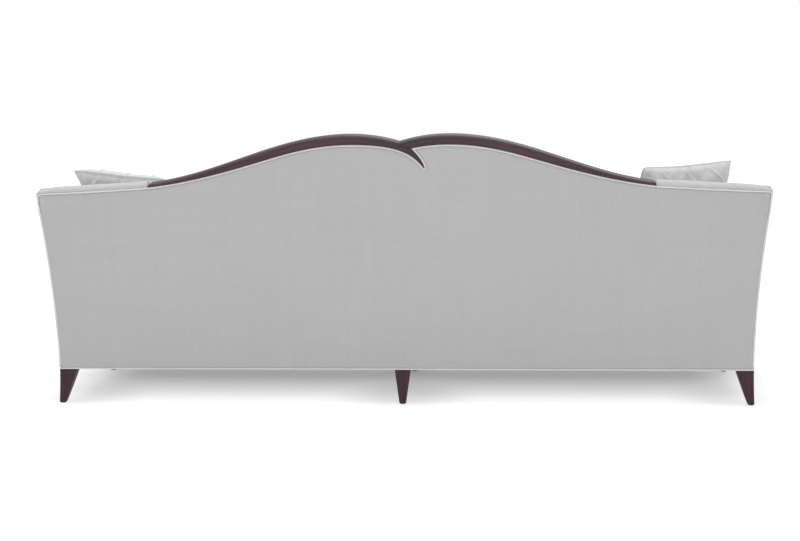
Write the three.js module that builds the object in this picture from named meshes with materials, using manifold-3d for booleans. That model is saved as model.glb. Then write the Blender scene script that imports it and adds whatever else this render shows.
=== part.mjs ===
// Camelback sofa with a carved show-wood top rail, in millimetres.
// +X is the sitter's left, +Y is the back of the sofa and +Z is up.
// The origin lies on the floor under the middle of the sofa's bounding box.
import * as THREE from "three";
import Module from "manifold-3d";
import { mergeVertices } from "three/addons/utils/BufferGeometryUtils.js";

const wasm = await Module();
wasm.setup();

// Overall sizes
const overallDepth = 930;
const bodyBottomHeight = 122;
const bottomHalfWidth = 1226;
const backRake = THREE.MathUtils.degToRad(8);
const clearance = 0.3;
const seatGap = 0.5;
const cutOverrun = 2;
const mergeTolerance = 0.001;

// Turns of a path, in radians, and the share of the distance that every offset point keeps
const sharpTurn = 0.3;
const roundingTurn = 0.5;
const trimShare = 0.97;

// The flare of both ends: a curve that leans outwards to a knee and then turns upright
const flareKneeHeight = 560;
const flareAtKnee = 38.6;
const flareTopHeight = 634;

// The double hump of the back, measured up the raked back from its bottom edge
const humpPeakOffset = 168;
const humpPeakHeight = 833;
const humpInnerRadius = 494;
const crestFootOffset = 959;
const crestFootHeight = 662.6;

// The show-wood rail and its comma-shaped tail
const railHeight = 30;
const railTipHeight = 9.5;
const railTaperStart = 430;
const railEnd = 876;
const railEndRake = 6;
const railProud = 3;
const railDepth = 62;
const railBevel = 3.5;
const tailReach = 88;
const tailDrop = 82;
const tailThickness = 11;
const notchOffset = 39.5;
const notchDrop = 12;
const tailHandleShares = { outer: 0.355, inner: 0.136, innerDrop: 0.134, crook: 0.91, crookDrop: 0.573 };

// Piping
const weltRadius = 3.5;
const weltCornerRadius = 12;
const bottomWeltCornerShare = 1.3;
const cornerWeltHeight = 634;

// Boards and panels
const panelThickness = 8;
const flareGap = 0.8;
const boardThickness = 32;
const railBoardDepth = 115;
const railBoardBottom = 3;
const postWidth = 60;
const crestBoardHeight = 110;
const uprightWidth = 50;
const uprightSpringSpaces = 4;
const tackRailBottom = 176;
const tackRailHeight = 55;
const frontPostDepth = 45;
const armTopBoardHeight = 60;
const armLowerRailBottom = 180;
const armLowerRailHeight = 45;
const stretcherHeight = 75;
const cornerBlockReach = 80;
const cornerBlockBottom = 28;
const cornerBlockHeight = 80;

// Rolls of padding along the top of the arms and of the back's outer ends
const rollHeight = 18;
const rollProud = 1;
const rollRound = 115;
const rollFullness = 0.6;
const backRollDepth = 46;
const armThickness = 96;
const armFrontHeight = 622;
const armSweepPower = 1.8;
const facingThickness = 7;
const armPadCrown = 6;

// The sprung seat
const springCount = 16;
const springEndMargin = 149.9;
const springWireRadius = 2;
const springRise = 30;
const springHalfWaves = 11;
const springAmplitude = 24;
const springBendShares = [0.18, 0.82];
const tieWireRadius = 1.2;
const tieWireShares = [0.35, 0.65];
const clipThickness = 1.2;
const clipWidth = 62;
const clipLength = 20;
const deckThickness = 20;
const deckTopHeight = 299;

// Seat cushions
const cushionHeight = 148;
const cushionCrown = 16;
const cushionFlare = 7;
const cushionDrawIn = 5;
const cushionFrontSetback = 3;
const cushionBackGap = 4;
const cushionShares = [-1, -0.97, -0.88, -0.72, -0.5, -0.25, 0, 0.25, 0.5, 0.72, 0.88, 0.97, 1];

// Inside back pad: how far its face stands in from the back's outer face
const padBottomDepth = 165;
const padTopDepth = 92;
const padEdgeDepth = 66;
const padLumbar = 14;
const padBottomLine = 174;
const padRowShares = [0, 0.06, 0.18, 0.34, 0.5, 0.66, 0.8, 0.88, 0.95, 1];
const padShares = { lumbar: 0.55, topRound: 0.16, sideRound: 0.045, sideDepth: 0.55 };
const webbingWidth = 50;
const webbingThickness = 2;
const webbingCount = 12;
const webbingSideMargin = 122.7;
const webbingRows = 2;
const webbingRowPitch = 150;
const webbingRowBottom = 300;

// Front border under the cushions
const borderSetback = 4;
const borderThickness = 26;
const borderCrown = 4;

// Legs, each with its top plate and hanger bolt
const legTop = 60;
const legBottom = 22;
const middleLegTop = 55;
const legKick = 3;
const legSetback = 4;
const legChamfer = 2.5;
const platePlan = 30;
const plateSink = 6;
const boltRadius = 4;
const boltHoleClearance = 0.35;
const boltReach = 45;
const dustCoverThickness = 1.7;
const dustCoverRise = 0.8;

// Dowels that hold the rail on the crest board
const dowelRadius = 5;
const dowelIntoBoard = 24;
const dowelIntoRail = 8;
const dowelOffsets = [90, 260, 430, 600];

// Throw pillows, and how each one leans in its corner
const pillowSide = 409;
const pillowHalfThickness = 62;
const pillowEdge = 3;
const pillowDrawIn = 14;
const pillowFullness = 0.38;
const pillowTuckDepth = 3.5;
const pillowTuckPitch = 96;
const pillowSpillShare = 0.4;
const pillowSteps = 14;
const leftPillowPose = {
  cornerInset: 357,
  setback: 190,
  turn: THREE.MathUtils.degToRad(34.5),
  lean: THREE.MathUtils.degToRad(28.3),
  tilt: THREE.MathUtils.degToRad(2.8),
  spill: 22,
};
const rightPillowPose = {
  cornerInset: 348,
  setback: 126,
  turn: THREE.MathUtils.degToRad(33.5),
  lean: THREE.MathUtils.degToRad(15.5),
  tilt: THREE.MathUtils.degToRad(2.6),
  spill: 8,
};

const fabric = new THREE.Color(0xc4c4c4);
const espresso = new THREE.Color(0x4a3a40);

const steps = (count) => Array.from({ length: count + 1 }, (_, i) => i / count);
const lerp = THREE.MathUtils.lerp;

// Makes one closed solid from points and triangles, with its faces turned outwards.
function closedSolid(points, triangles) {
  let volume = 0;
  for (const [a, b, c] of triangles) {
    volume += points[a].dot(new THREE.Vector3().crossVectors(points[b], points[c]));
  }
  const index = triangles.flatMap(([a, b, c]) => (volume < 0 ? [a, c, b] : [a, b, c]));
  const geometry = new THREE.BufferGeometry().setFromPoints(points);
  geometry.setIndex(index);
  return geometry;
}

// A slab between two surfaces that are given on the same grid of points.
function slab(front, back) {
  const columns = front.length;
  const rows = front[0].length;
  const points = [...front.flat(), ...back.flat()];
  const at = (side, i, j) => side * columns * rows + i * rows + j;
  const triangles = [];
  for (let i = 0; i < columns - 1; i++) {
    for (let j = 0; j < rows - 1; j++) {
      const f = [at(0, i, j), at(0, i + 1, j), at(0, i + 1, j + 1), at(0, i, j + 1)];
      const b = [at(1, i, j), at(1, i + 1, j), at(1, i + 1, j + 1), at(1, i, j + 1)];
      triangles.push([f[0], f[1], f[2]], [f[0], f[2], f[3]], [b[0], b[2], b[1]], [b[0], b[3], b[2]]);
    }
  }
  const rim = [];
  for (let i = 0; i < columns - 1; i++) rim.push([i, 0]);
  for (let j = 0; j < rows - 1; j++) rim.push([columns - 1, j]);
  for (let i = columns - 1; i > 0; i--) rim.push([i, rows - 1]);
  for (let j = rows - 1; j > 0; j--) rim.push([0, j]);
  rim.forEach(([i, j], k) => {
    const [m, n] = rim[(k + 1) % rim.length];
    triangles.push([at(0, i, j), at(1, i, j), at(1, m, n)], [at(0, i, j), at(1, m, n), at(0, m, n)]);
  });
  return closedSolid(points, triangles);
}

// A solid through rings of points that follow each other, with both ends capped.
function loft(rings) {
  const size = rings[0].length;
  const points = rings.flat();
  const triangles = [];
  for (let i = 0; i < rings.length - 1; i++) {
    for (let k = 0; k < size; k++) {
      const a = i * size + k;
      const b = i * size + ((k + 1) % size);
      triangles.push([a, b, b + size], [a, b + size, a + size]);
    }
  }
  const last = (rings.length - 1) * size;
  for (let k = 1; k < size - 1; k++) {
    triangles.push([0, k + 1, k], [last, last + k, last + k + 1]);
  }
  return closedSolid(points, triangles);
}

// A round cord along a path that lies in a plane, mitred at its corners.
function planarCord(path, radius, sides, isClosed) {
  const count = path.length;
  const rings = path.map((p, i) => {
    const before = path[isClosed ? (i + count - 1) % count : Math.max(i - 1, 0)];
    const after = path[isClosed ? (i + 1) % count : Math.min(i + 1, count - 1)];
    const into = new THREE.Vector2().subVectors(p, before).normalize();
    const away = new THREE.Vector2().subVectors(after, p).normalize();
    if (into.length() === 0) into.copy(away);
    if (away.length() === 0) away.copy(into);
    const along = new THREE.Vector2().addVectors(into, away).normalize();
    const spread = radius / Math.max(along.dot(into), 0.5);
    return Array.from({ length: sides }, (_, k) => {
      const turn = (2 * Math.PI * (k + 0.5)) / sides;
      const across = spread * Math.cos(turn);
      const [x, y] = [p.x - along.y * across, p.y + along.x * across];
      return new THREE.Vector3(x, y, radius * Math.sin(turn));
    });
  });
  if (!isClosed) return loft(rings);
  const points = rings.flat();
  const triangles = [];
  for (let i = 0; i < count; i++) {
    const next = (i + 1) % count;
    for (let k = 0; k < sides; k++) {
      const l = (k + 1) % sides;
      const [a, b, c, d] = [i * sides + k, i * sides + l, next * sides + l, next * sides + k];
      triangles.push([a, b, c], [a, c, d]);
    }
  }
  return closedSolid(points, triangles);
}

// The path moved to its left-hand side. Outer corners become round, and inner ones are trimmed.
function offsetPath(path, distance) {
  const segmentNormal = (i) => {
    const along = new THREE.Vector2().subVectors(path[i + 1], path[i]).normalize();
    return new THREE.Vector2(-along.y, along.x);
  };
  const moved = path.flatMap((point, i) => {
    const before = segmentNormal(Math.max(i - 1, 0));
    const after = segmentNormal(Math.min(i, path.length - 2));
    const turn = Math.atan2(before.cross(after), before.dot(after));
    const pieces = Math.ceil(Math.abs(turn) / roundingTurn);
    let shares = steps(pieces);
    if (turn > 0) shares = [0, 1];
    if (Math.abs(turn) < sharpTurn) shares = [0.5];
    return shares.map((share) => {
      const normal = before.clone().rotateAround(new THREE.Vector2(), turn * share);
      return normal.multiplyScalar(distance).add(point);
    });
  });
  const isClear = (p) =>
    path.slice(1).every((end, i) => {
      const along = new THREE.Vector2().subVectors(end, path[i]);
      const t = THREE.MathUtils.clamp(p.clone().sub(path[i]).dot(along) / along.lengthSq(), 0, 1);
      return p.distanceTo(along.multiplyScalar(t).add(path[i])) > distance * trimShare;
    });
  return moved.filter(isClear);
}

// A flat piece with this outline, between two depths along the axis that stands out of it.
function board(outline, from, to) {
  const settings = { depth: to - from, bevelEnabled: false };
  return new THREE.ExtrudeGeometry(new THREE.Shape(outline), settings).translate(0, 0, from);
}

function box(x0, x1, y0, y1, z0, z1) {
  const geometry = new THREE.BoxGeometry(x1 - x0, y1 - y0, z1 - z0);
  return geometry.translate((x0 + x1) / 2, (y0 + y1) / 2, (z0 + z1) / 2);
}

// An upright round bar between two heights.
function bar(x, y, z0, z1, radius, sides) {
  const geometry = new THREE.CylinderGeometry(radius, radius, z1 - z0, sides);
  return geometry.rotateX(Math.PI / 2).translate(x, y, (z0 + z1) / 2);
}

function toManifold(geometry) {
  const bare = new THREE.BufferGeometry();
  bare.setAttribute("position", geometry.getAttribute("position").clone());
  if (geometry.index) bare.setIndex(geometry.index.clone());
  const merged = mergeVertices(bare, mergeTolerance);
  return new wasm.Manifold(
    new wasm.Mesh({
      numProp: 3,
      vertProperties: new Float32Array(merged.attributes.position.array),
      triVerts: new Uint32Array(merged.index.array),
    }),
  );
}

function fromManifold(solid) {
  const mesh = solid.getMesh();
  const geometry = new THREE.BufferGeometry();
  const positions = [];
  for (let i = 0; i < mesh.vertProperties.length; i += mesh.numProp) {
    positions.push(mesh.vertProperties[i], mesh.vertProperties[i + 1], mesh.vertProperties[i + 2]);
  }
  geometry.setAttribute("position", new THREE.Float32BufferAttribute(positions, 3));
  geometry.setIndex([...mesh.triVerts]);
  return geometry;
}

function cut(geometry, tools) {
  let solid = toManifold(geometry);
  for (const tool of tools) solid = solid.subtract(toManifold(tool));
  return fromManifold(solid);
}

function join(geometries) {
  const [first, ...others] = geometries.map(toManifold);
  return fromManifold(others.reduce((whole, next) => whole.add(next), first));
}

// Half the width of the body at a height above its bottom edge
function halfWidthAt(height) {
  const slope = (2 * flareAtKnee) / flareKneeHeight;
  const h = Math.max(height, 0);
  if (h <= flareKneeHeight) return bottomHalfWidth + flareAtKnee * (h / flareKneeHeight) ** 2;
  const over = Math.min(h, flareTopHeight) - flareKneeHeight;
  const easing = (slope * over ** 2) / (2 * (flareTopHeight - flareKneeHeight));
  return bottomHalfWidth + flareAtKnee + slope * over - easing;
}

// The back group: x across, y up the raked back, z in from its outer face towards the sitter.
const rakeSin = Math.sin(backRake);
const rakeCos = Math.cos(backRake);
const railRearReach = (humpPeakHeight - railBevel) * rakeSin + railProud * rakeCos;
const backLine = overallDepth / 2 - railRearReach;
const frontLine = -overallDepth / 2;
const back = new THREE.Group();
back.position.set(0, backLine, bodyBottomHeight);
back.rotation.x = Math.PI / 2 - backRake;
back.updateMatrixWorld(true);

const heightAt = (up, inward) => bodyBottomHeight + up * rakeCos + inward * rakeSin;
// Where the plane that lies this far in from the back's outer face stands, at a height above the floor
const backPlane = (z, inward) => backLine + ((z - bodyBottomHeight) * rakeSin - inward) / rakeCos;
const halfWidthUp = (up) => halfWidthAt(up * rakeCos);

// The top edge of the rail, over the two humps
function crestTop(x) {
  const a = Math.abs(x);
  if (a <= humpPeakOffset) {
    return humpPeakHeight - humpInnerRadius + Math.sqrt(humpInnerRadius ** 2 - (humpPeakOffset - a) ** 2);
  }
  const t = Math.min((a - humpPeakOffset) / (crestFootOffset - humpPeakOffset), 1);
  return crestFootHeight + ((humpPeakHeight - crestFootHeight) * (1 + Math.cos(Math.PI * t))) / 2;
}

function railHeightAt(x) {
  const t = THREE.MathUtils.clamp((Math.abs(x) - railTaperStart) / (railEnd - railTaperStart), 0, 1);
  return railTipHeight + ((railHeight - railTipHeight) * (1 + Math.cos(Math.PI * t))) / 2;
}

// The rail's lower edge: a sweep into the tail on one side, a notch on the other
const undersidePeak = humpPeakHeight - railHeight;
const tailTip = new THREE.Vector2(-tailReach, undersidePeak - tailDrop);
const notch = new THREE.Vector2(-notchOffset, undersidePeak - notchDrop);
const tailPoint = (reachShare, dropShare) =>
  new THREE.Vector2(-tailReach * reachShare, undersidePeak - tailDrop * dropShare);
const tailSweep = new THREE.CubicBezierCurve(
  new THREE.Vector2(humpPeakOffset, undersidePeak),
  new THREE.Vector2(humpPeakOffset * tailHandleShares.outer, undersidePeak),
  tailPoint(tailHandleShares.inner, tailHandleShares.innerDrop),
  tailTip,
);
const tailInside = new THREE.QuadraticBezierCurve(
  tailTip,
  tailPoint(tailHandleShares.crook, tailHandleShares.crookDrop),
  notch,
);

function sweepHeightAt(x) {
  let [low, high] = [0, 1];
  for (let i = 0; i < 40; i++) {
    const middle = (low + high) / 2;
    if (tailSweep.getPoint(middle).x > x) low = middle;
    else high = middle;
  }
  return tailSweep.getPoint(low).y;
}

function railUnderside(x) {
  const a = Math.abs(x);
  if (a >= humpPeakOffset) return crestTop(x) - railHeightAt(x);
  if (x >= 0) return sweepHeightAt(x);
  if (a >= notchOffset) {
    return undersidePeak - notchDrop * ((humpPeakOffset - a) / (humpPeakOffset - notchOffset)) ** 2;
  }
  return lerp(sweepHeightAt(0), notch.y, a / notchOffset);
}

const railStations = [
  ...steps(7).map((t) => t * humpPeakOffset),
  ...steps(20).slice(1).map((t) => lerp(humpPeakOffset, railEnd, t)),
];

// Half of the rail as a run of sections from the middle to its tip, on the side that the sign gives
function railHalf(sign) {
  const stations = sign < 0 ? [...railStations, notchOffset].sort((a, b) => a - b) : railStations;
  const front = railDepth - railProud;
  const rings = stations.map((a) => {
    const low = railUnderside(sign * a);
    const top = crestTop(a);
    const bevel = Math.min(railBevel, (top - low) / 3);
    const lean = railEndRake * Math.max(0, (a - railTaperStart) / (railEnd - railTaperStart)) ** 8;
    const point = (up, inward) => {
      const share = (up - low) / (top - low);
      return new THREE.Vector3(sign * (a - lean * share), up, inward);
    };
    return [
      point(low, -railProud),
      point(top - bevel, -railProud),
      point(top, bevel - railProud),
      point(top, front - bevel),
      point(top - bevel, front),
      point(low, front),
    ];
  });
  return loft(rings);
}

const tailBack = tailThickness - railProud;
const dowelDepth = panelThickness + clearance + boardThickness / 2;

function dowel(x, extra) {
  const middle = railUnderside(x);
  const geometry = new THREE.CylinderGeometry(
    dowelRadius + extra,
    dowelRadius + extra,
    dowelIntoBoard + dowelIntoRail + 2 * extra,
    8,
  );
  return geometry.translate(x, middle + (dowelIntoRail - dowelIntoBoard) / 2, dowelDepth);
}

const rightDowelOffsets = dowelOffsets.map((a) => -a);

// The left rail carries the tail, whose root laps over the end of the right rail.
function leftTopRail() {
  const root = notchOffset / 3;
  const outline = [];
  for (const t of steps(24)) {
    const p = tailSweep.getPoint(t);
    if (p.x < root) outline.push(p);
  }
  outline.push(...steps(7).slice(1).map((t) => tailInside.getPoint(t)));
  outline.push(new THREE.Vector2(0, crestTop(0) - railBevel / 4));
  outline.push(new THREE.Vector2(root, crestTop(root) - railBevel));
  outline.push(new THREE.Vector2(root, railUnderside(root)));
  const tail = board(outline, -railProud, tailBack);
  return join([railHalf(1), tail, ...dowelOffsets.map((x) => dowel(x, 0))]);
}

function rightTopRail() {
  const lap = board(
    [
      new THREE.Vector2(cutOverrun, crestTop(0) + clearance),
      new THREE.Vector2(0, crestTop(0) + clearance),
      new THREE.Vector2(notch.x - clearance, notch.y + 2 * clearance),
      new THREE.Vector2(notch.x - clearance, tailTip.y),
      new THREE.Vector2(cutOverrun, tailTip.y),
    ],
    -railProud - cutOverrun,
    tailBack + clearance,
  );
  const plain = cut(railHalf(-1).translate(-clearance, 0, 0), [lap]);
  return join([plain, ...rightDowelOffsets.map((x) => dowel(x, 0))]);
}

// The line of the piping around the outer back: up one end, under the roll and the rail, round the tail
const weltSeat = weltRadius + clearance;
const rollWeltStart = railUnderside(railEnd) - weltSeat;
const weltCornerX = halfWidthUp(cornerWeltHeight) - weltRadius;

function rollWeltLine(x) {
  const t = THREE.MathUtils.clamp((Math.abs(x) - railEnd) / (weltCornerX - railEnd), 0, 1);
  return lerp(cornerWeltHeight, rollWeltStart, (1 - t) ** 1.3);
}

const rollUnderside = (x) => rollWeltLine(x) + weltSeat;
const rollEnd = weltCornerX + weltRadius;
const rollRoundStart = rollEnd - rollRound;
const rollStations = steps(9).map((t) => lerp(railEnd + clearance, rollRoundStart, t));

function railLowerPath() {
  const path = [];
  const outwards = steps(12).map((t) => lerp(humpPeakOffset, railEnd, t));
  for (const x of [...outwards].reverse()) path.push(new THREE.Vector2(x, railUnderside(x)));
  path.push(...steps(12).slice(1).map((t) => tailSweep.getPoint(t)));
  path.push(...steps(6).slice(1).map((t) => tailInside.getPoint(t)));
  for (const t of steps(4).slice(1, 4)) {
    const x = -lerp(notchOffset, humpPeakOffset, t);
    path.push(new THREE.Vector2(x, railUnderside(x)));
  }
  for (const x of outwards) path.push(new THREE.Vector2(-x, railUnderside(-x)));
  return path;
}

// One end of the piping line, from the bottom edge up the side and in to the rail's tip
function endWeltPath(bottom) {
  const path = steps(7).map((t) => {
    const up = lerp(bottom, cornerWeltHeight - weltCornerRadius, t);
    return new THREE.Vector2(halfWidthUp(up) - weltRadius, up);
  });
  const centre = new THREE.Vector2(weltCornerX - weltCornerRadius, cornerWeltHeight - weltCornerRadius);
  for (const t of steps(3).slice(1)) {
    const turn = (Math.PI / 2) * t;
    path.push(
      new THREE.Vector2(
        centre.x + weltCornerRadius * Math.cos(turn),
        centre.y + weltCornerRadius * Math.sin(turn),
      ),
    );
  }
  for (const t of steps(6).slice(1, 6)) {
    const x = lerp(centre.x, railEnd, t);
    path.push(new THREE.Vector2(x, rollWeltLine(x)));
  }
  return path;
}

const bottomWeltTop = 2 * weltRadius + clearance;
const bottomWeltCorner = weltRadius * bottomWeltCornerShare;
const backWeltPath = [
  ...endWeltPath(bottomWeltTop),
  ...offsetPath(railLowerPath(), weltSeat),
  ...endWeltPath(bottomWeltTop).reverse().map((p) => new THREE.Vector2(-p.x, p.y)),
];

function outsideBackPanel() {
  const outline = offsetPath(backWeltPath, weltSeat);
  return board(outline, 0, panelThickness);
}

function outsideBackWelt() {
  return planarCord(backWeltPath, weltRadius, 6, false).translate(0, 0, weltRadius - clearance);
}

// Back frame, all in the plane of the raked back
const frameFace = panelThickness + clearance;
const frameInner = frameFace + boardThickness;
const armBoardOuter = frameFace + flareGap;
const armBoardInner = armBoardOuter + boardThickness;
const padSeat = frameInner + 2 * (webbingThickness + clearance) + clearance;
const crestBoardBottom = (x) => {
  const a = Math.max(Math.abs(x), humpPeakOffset);
  return crestTop(a) - railHeight - crestBoardHeight;
};
const postOuter = (up) => halfWidthUp(up) - panelThickness - clearance;
const postInner = (up) => postOuter(up) - postWidth;
const toBack = back.matrixWorld.clone().invert();
const railBottom = bodyBottomHeight + railBoardBottom;
const railBoardTop = railBottom + railBoardDepth;

// Where the legs' bolts go up into the frame
const boltOffsetX = bottomHalfWidth - frameFace - boardThickness / 2;
const rearBoltLine = backPlane(railBottom, frameFace + boardThickness / 2);

function boltBore(x, y) {
  const top = railBottom + boltReach + clearance;
  return bar(x, y, railBottom - cutOverrun, top, boltRadius + boltHoleClearance, 10);
}

// Everything below a height above the floor, for level cuts in the raked back
function belowLevel(z) {
  const [x, y] = [2 * bottomHalfWidth, overallDepth];
  return box(-x, x, -y, y, -bodyBottomHeight, z).applyMatrix4(toBack);
}
const crestBoardEnd = postInner(crestBoardBottom(crestFootOffset)) - flareGap - clearance;

function crestBoard() {
  const underRail = [...railStations.slice(1)].reverse();
  const underRoll = rollStations.filter((x) => x < crestBoardEnd).reverse();
  const rightSide = [...underRail].reverse().map((x) => -x);
  const belowTop = (x, top) => new THREE.Vector2(x, top - clearance);
  const outline = [crestBoardEnd, ...underRoll].map((x) => belowTop(x, rollUnderside(x)));
  for (const x of [...underRail, 0, ...rightSide]) outline.push(belowTop(x, railUnderside(x)));
  const left = outline.slice(0, underRoll.length + 1).reverse();
  outline.push(...left.map((p) => new THREE.Vector2(-p.x, p.y)));
  for (const t of steps(22)) {
    const x = lerp(-crestBoardEnd, crestBoardEnd, t);
    outline.push(new THREE.Vector2(x, crestBoardBottom(x)));
  }
  const holes = [...dowelOffsets, ...rightDowelOffsets].map((x) => dowel(x, clearance));
  return cut(board(outline, frameFace, frameInner), holes);
}

// The springs are spread over the front rail, and the uprights stand in line with the gaps between them.
const frontRailEnd = bottomHalfWidth - armBoardInner - clearance;
const springPitch = (2 * (frontRailEnd - springEndMargin)) / (springCount - 1);
const uprightOffset = uprightSpringSpaces * springPitch;

// The uprights and the lower rail are halved into each other where they cross.
const lapMiddle = frameFace + boardThickness / 2;
const lapGap = clearance / 2;

function backUpright(x) {
  const half = uprightWidth / 2;
  const outline = [
    new THREE.Vector2(x - half, railBoardDepth / 2),
    new THREE.Vector2(x + half, railBoardDepth / 2),
    new THREE.Vector2(x + half, crestBoardBottom(x + half) - clearance),
    new THREE.Vector2(x - half, crestBoardBottom(x - half) - clearance),
  ];
  const below = belowLevel(railBoardTop + clearance);
  const lap = box(
    x - half - cutOverrun,
    x + half + cutOverrun,
    tackRailBottom - clearance,
    tackRailBottom + tackRailHeight + clearance,
    lapMiddle - lapGap,
    frameInner + cutOverrun,
  );
  return cut(board(outline, frameFace, frameInner), [lap, below]);
}

function backPost() {
  const outerTop = rollUnderside(postOuter(cornerWeltHeight)) - clearance;
  const innerTop = rollUnderside(postInner(cornerWeltHeight)) - clearance;
  const outer = steps(8).map((t) => lerp(0, outerTop, t)).map((up) => new THREE.Vector2(postOuter(up), up));
  const inner = steps(8).map((t) => lerp(innerTop, 0, t)).map((up) => new THREE.Vector2(postInner(up), up));
  const below = belowLevel(railBottom);
  const bore = boltBore(boltOffsetX, rearBoltLine).applyMatrix4(toBack);
  return cut(board([...outer, ...inner], frameFace, frameInner), [below, bore]);
}

function lowerBackRail() {
  const half = uprightWidth / 2 + clearance;
  const end = postInner(tackRailBottom) - clearance;
  const low = tackRailBottom;
  const high = tackRailBottom + tackRailHeight;
  const laps = [-uprightOffset, 0, uprightOffset].map((x) =>
    box(x - half, x + half, low - cutOverrun, high + cutOverrun, frameFace - cutOverrun, lapMiddle + lapGap),
  );
  return cut(box(-end, end, low, high, frameFace, frameInner), laps);
}

function backWebbing() {
  const straps = [];
  const near = frameInner + clearance;
  const reach = padSide(webbingRowBottom) - webbingSideMargin;
  for (const t of steps(webbingCount - 1)) {
    const x = lerp(-reach, reach, t);
    const top = Math.min(crestBoardBottom(x - webbingWidth / 2), crestBoardBottom(x + webbingWidth / 2));
    straps.push(
      box(
        x - webbingWidth / 2,
        x + webbingWidth / 2,
        tackRailBottom,
        top + webbingWidth,
        near,
        near + webbingThickness,
      ),
    );
  }
  for (let i = 0; i < webbingRows; i++) {
    const up = webbingRowBottom + i * webbingRowPitch;
    const end = postInner(up) + postWidth / 2;
    const far = near + webbingThickness;
    straps.push(box(-end, end, up, up + webbingWidth, near + webbingThickness / 2, far + webbingThickness));
  }
  return join(straps);
}

// A quarter circle that rises from 0 at an edge to 1 at the far end of its rounding
const roundedEdge = (t) => Math.sqrt(Math.max(0, 1 - (1 - Math.min(t, 1)) ** 2));

// How far in the pad's face stands, from its bottom edge at 0 to its top edge at 1
function padFace(share) {
  const slope = lerp(padBottomDepth, padTopDepth, share);
  const lumbar = padLumbar * Math.sin(Math.PI * Math.min(share / padShares.lumbar, 1)) ** 2;
  const round = roundedEdge((1 - share) / padShares.topRound);
  return padEdgeDepth + (slope + lumbar - padEdgeDepth) * round;
}

const padTopLine = (x) => (Math.abs(x) <= railEnd ? railUnderside(x) : rollUnderside(x)) - 2 * seatGap;
const padSide = (up) => halfWidthUp(up) - armThickness - armPadCrown - seatGap;

// Its columns of points, closer together where the ends are rounded
const padColumns = [
  ...steps(3).map((t) => -1 + padShares.sideRound * t).slice(0, 3),
  ...steps(26).map((t) => (2 * t - 1) * (1 - padShares.sideRound)),
  ...steps(3).map((t) => 1 - padShares.sideRound * (1 - t)).slice(1),
];

function insideBackPad() {
  const grid = (faceOf) =>
    padColumns.map((u) =>
      padRowShares.map((share) => {
        let up = padBottomLine;
        for (let i = 0; i < 4; i++) {
          const x = u * padSide(up);
          const symmetric = Math.max(Math.abs(x), humpPeakOffset / 2);
          up = lerp(padBottomLine, Math.min(padTopLine(-symmetric), padTopLine(x)), share);
        }
        return new THREE.Vector3(u * padSide(up), up, faceOf(share, Math.abs(u)));
      }),
    );
  const front = grid((share, u) => {
    const round = lerp(padShares.sideDepth, 1, roundedEdge((1 - u) / padShares.sideRound));
    return padEdgeDepth + (padFace(share) - padEdgeDepth) * round;
  });
  return slab(front, grid(() => padSeat));
}

// The padded roll that carries the rail's line on to the corner of the back
function backRoll() {
  const turns = steps(5).slice(1, 5).map((t) => (Math.PI / 2) * t);
  const rounding = turns.map((turn) => rollRoundStart + rollRound * Math.sin(turn));
  const stations = [...rollStations, ...rounding, rollEnd - seatGap];
  const middle = backRollDepth / 2 - rollProud;
  const rings = stations.map((x) => {
    const over = Math.max(0, (x - rollRoundStart) / rollRound);
    const fade = Math.sqrt(Math.max(0.02, 1 - over ** 2));
    return steps(10).map((t) => {
      const turn = Math.PI * t;
      const inward = middle - (backRollDepth / 2) * Math.cos(turn);
      const up = rollUnderside(x) + rollHeight * fade * Math.sin(turn) ** rollFullness;
      return new THREE.Vector3(x, up, inward);
    });
  });
  return loft(rings);
}

// The arms: a point is set by its height, its depth in from the side and its share of the arm's length
const armStart = frontLine + facingThickness + clearance;
const armRollRear = backRollDepth;
const armLineRear = heightAt(rollUnderside(weltCornerX), armRollRear);

// The top of the arm's boards: a sweep that rises to the back, then the slope of the back's roll under it
function armLine(y) {
  const rear = backPlane(armLineRear, armRollRear);
  if (y > rear) return armLineRear - (y - rear) * Math.tan(backRake);
  const t = THREE.MathUtils.clamp((rear - y) / (rear - frontLine), 0, 1);
  return lerp(armFrontHeight, armLineRear, (1 - t) ** armSweepPower);
}

const outerAt = (z) => halfWidthAt(z - bodyBottomHeight);

// A flared board or pad of the left arm between two depths from the outer side
function armBoard(settings) {
  const { outer, inner, start, rearInset, rear, low, high, along, up, crown = 0, bores = [] } = settings;
  const surface = (depthAt) =>
    steps(along).map((s) =>
      steps(up).map((t) => {
        let y = start;
        let z = low;
        for (let i = 0; i < 5; i++) {
          z = lerp(low, high(y), t);
          const end = rear ?? backPlane(z, rearInset);
          y = lerp(start, end, s);
        }
        return new THREE.Vector3(outerAt(z) - depthAt(s, t), y, z);
      }),
    );
  const swell = (s, t) => crown * (1 - (2 * s - 1) ** 4) * (1 - (2 * t - 1) ** 4);
  return cut(slab(surface(() => outer), surface((s, t) => inner + swell(s, t))), bores);
}

const underRoll = (y) => armLine(y) - seatGap;
const armFrameRear = frameInner + clearance;
const frontCornerBoltLine = armStart + clearance + frontPostDepth / 2;
const frontPostRear = armStart + clearance + frontPostDepth;

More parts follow.
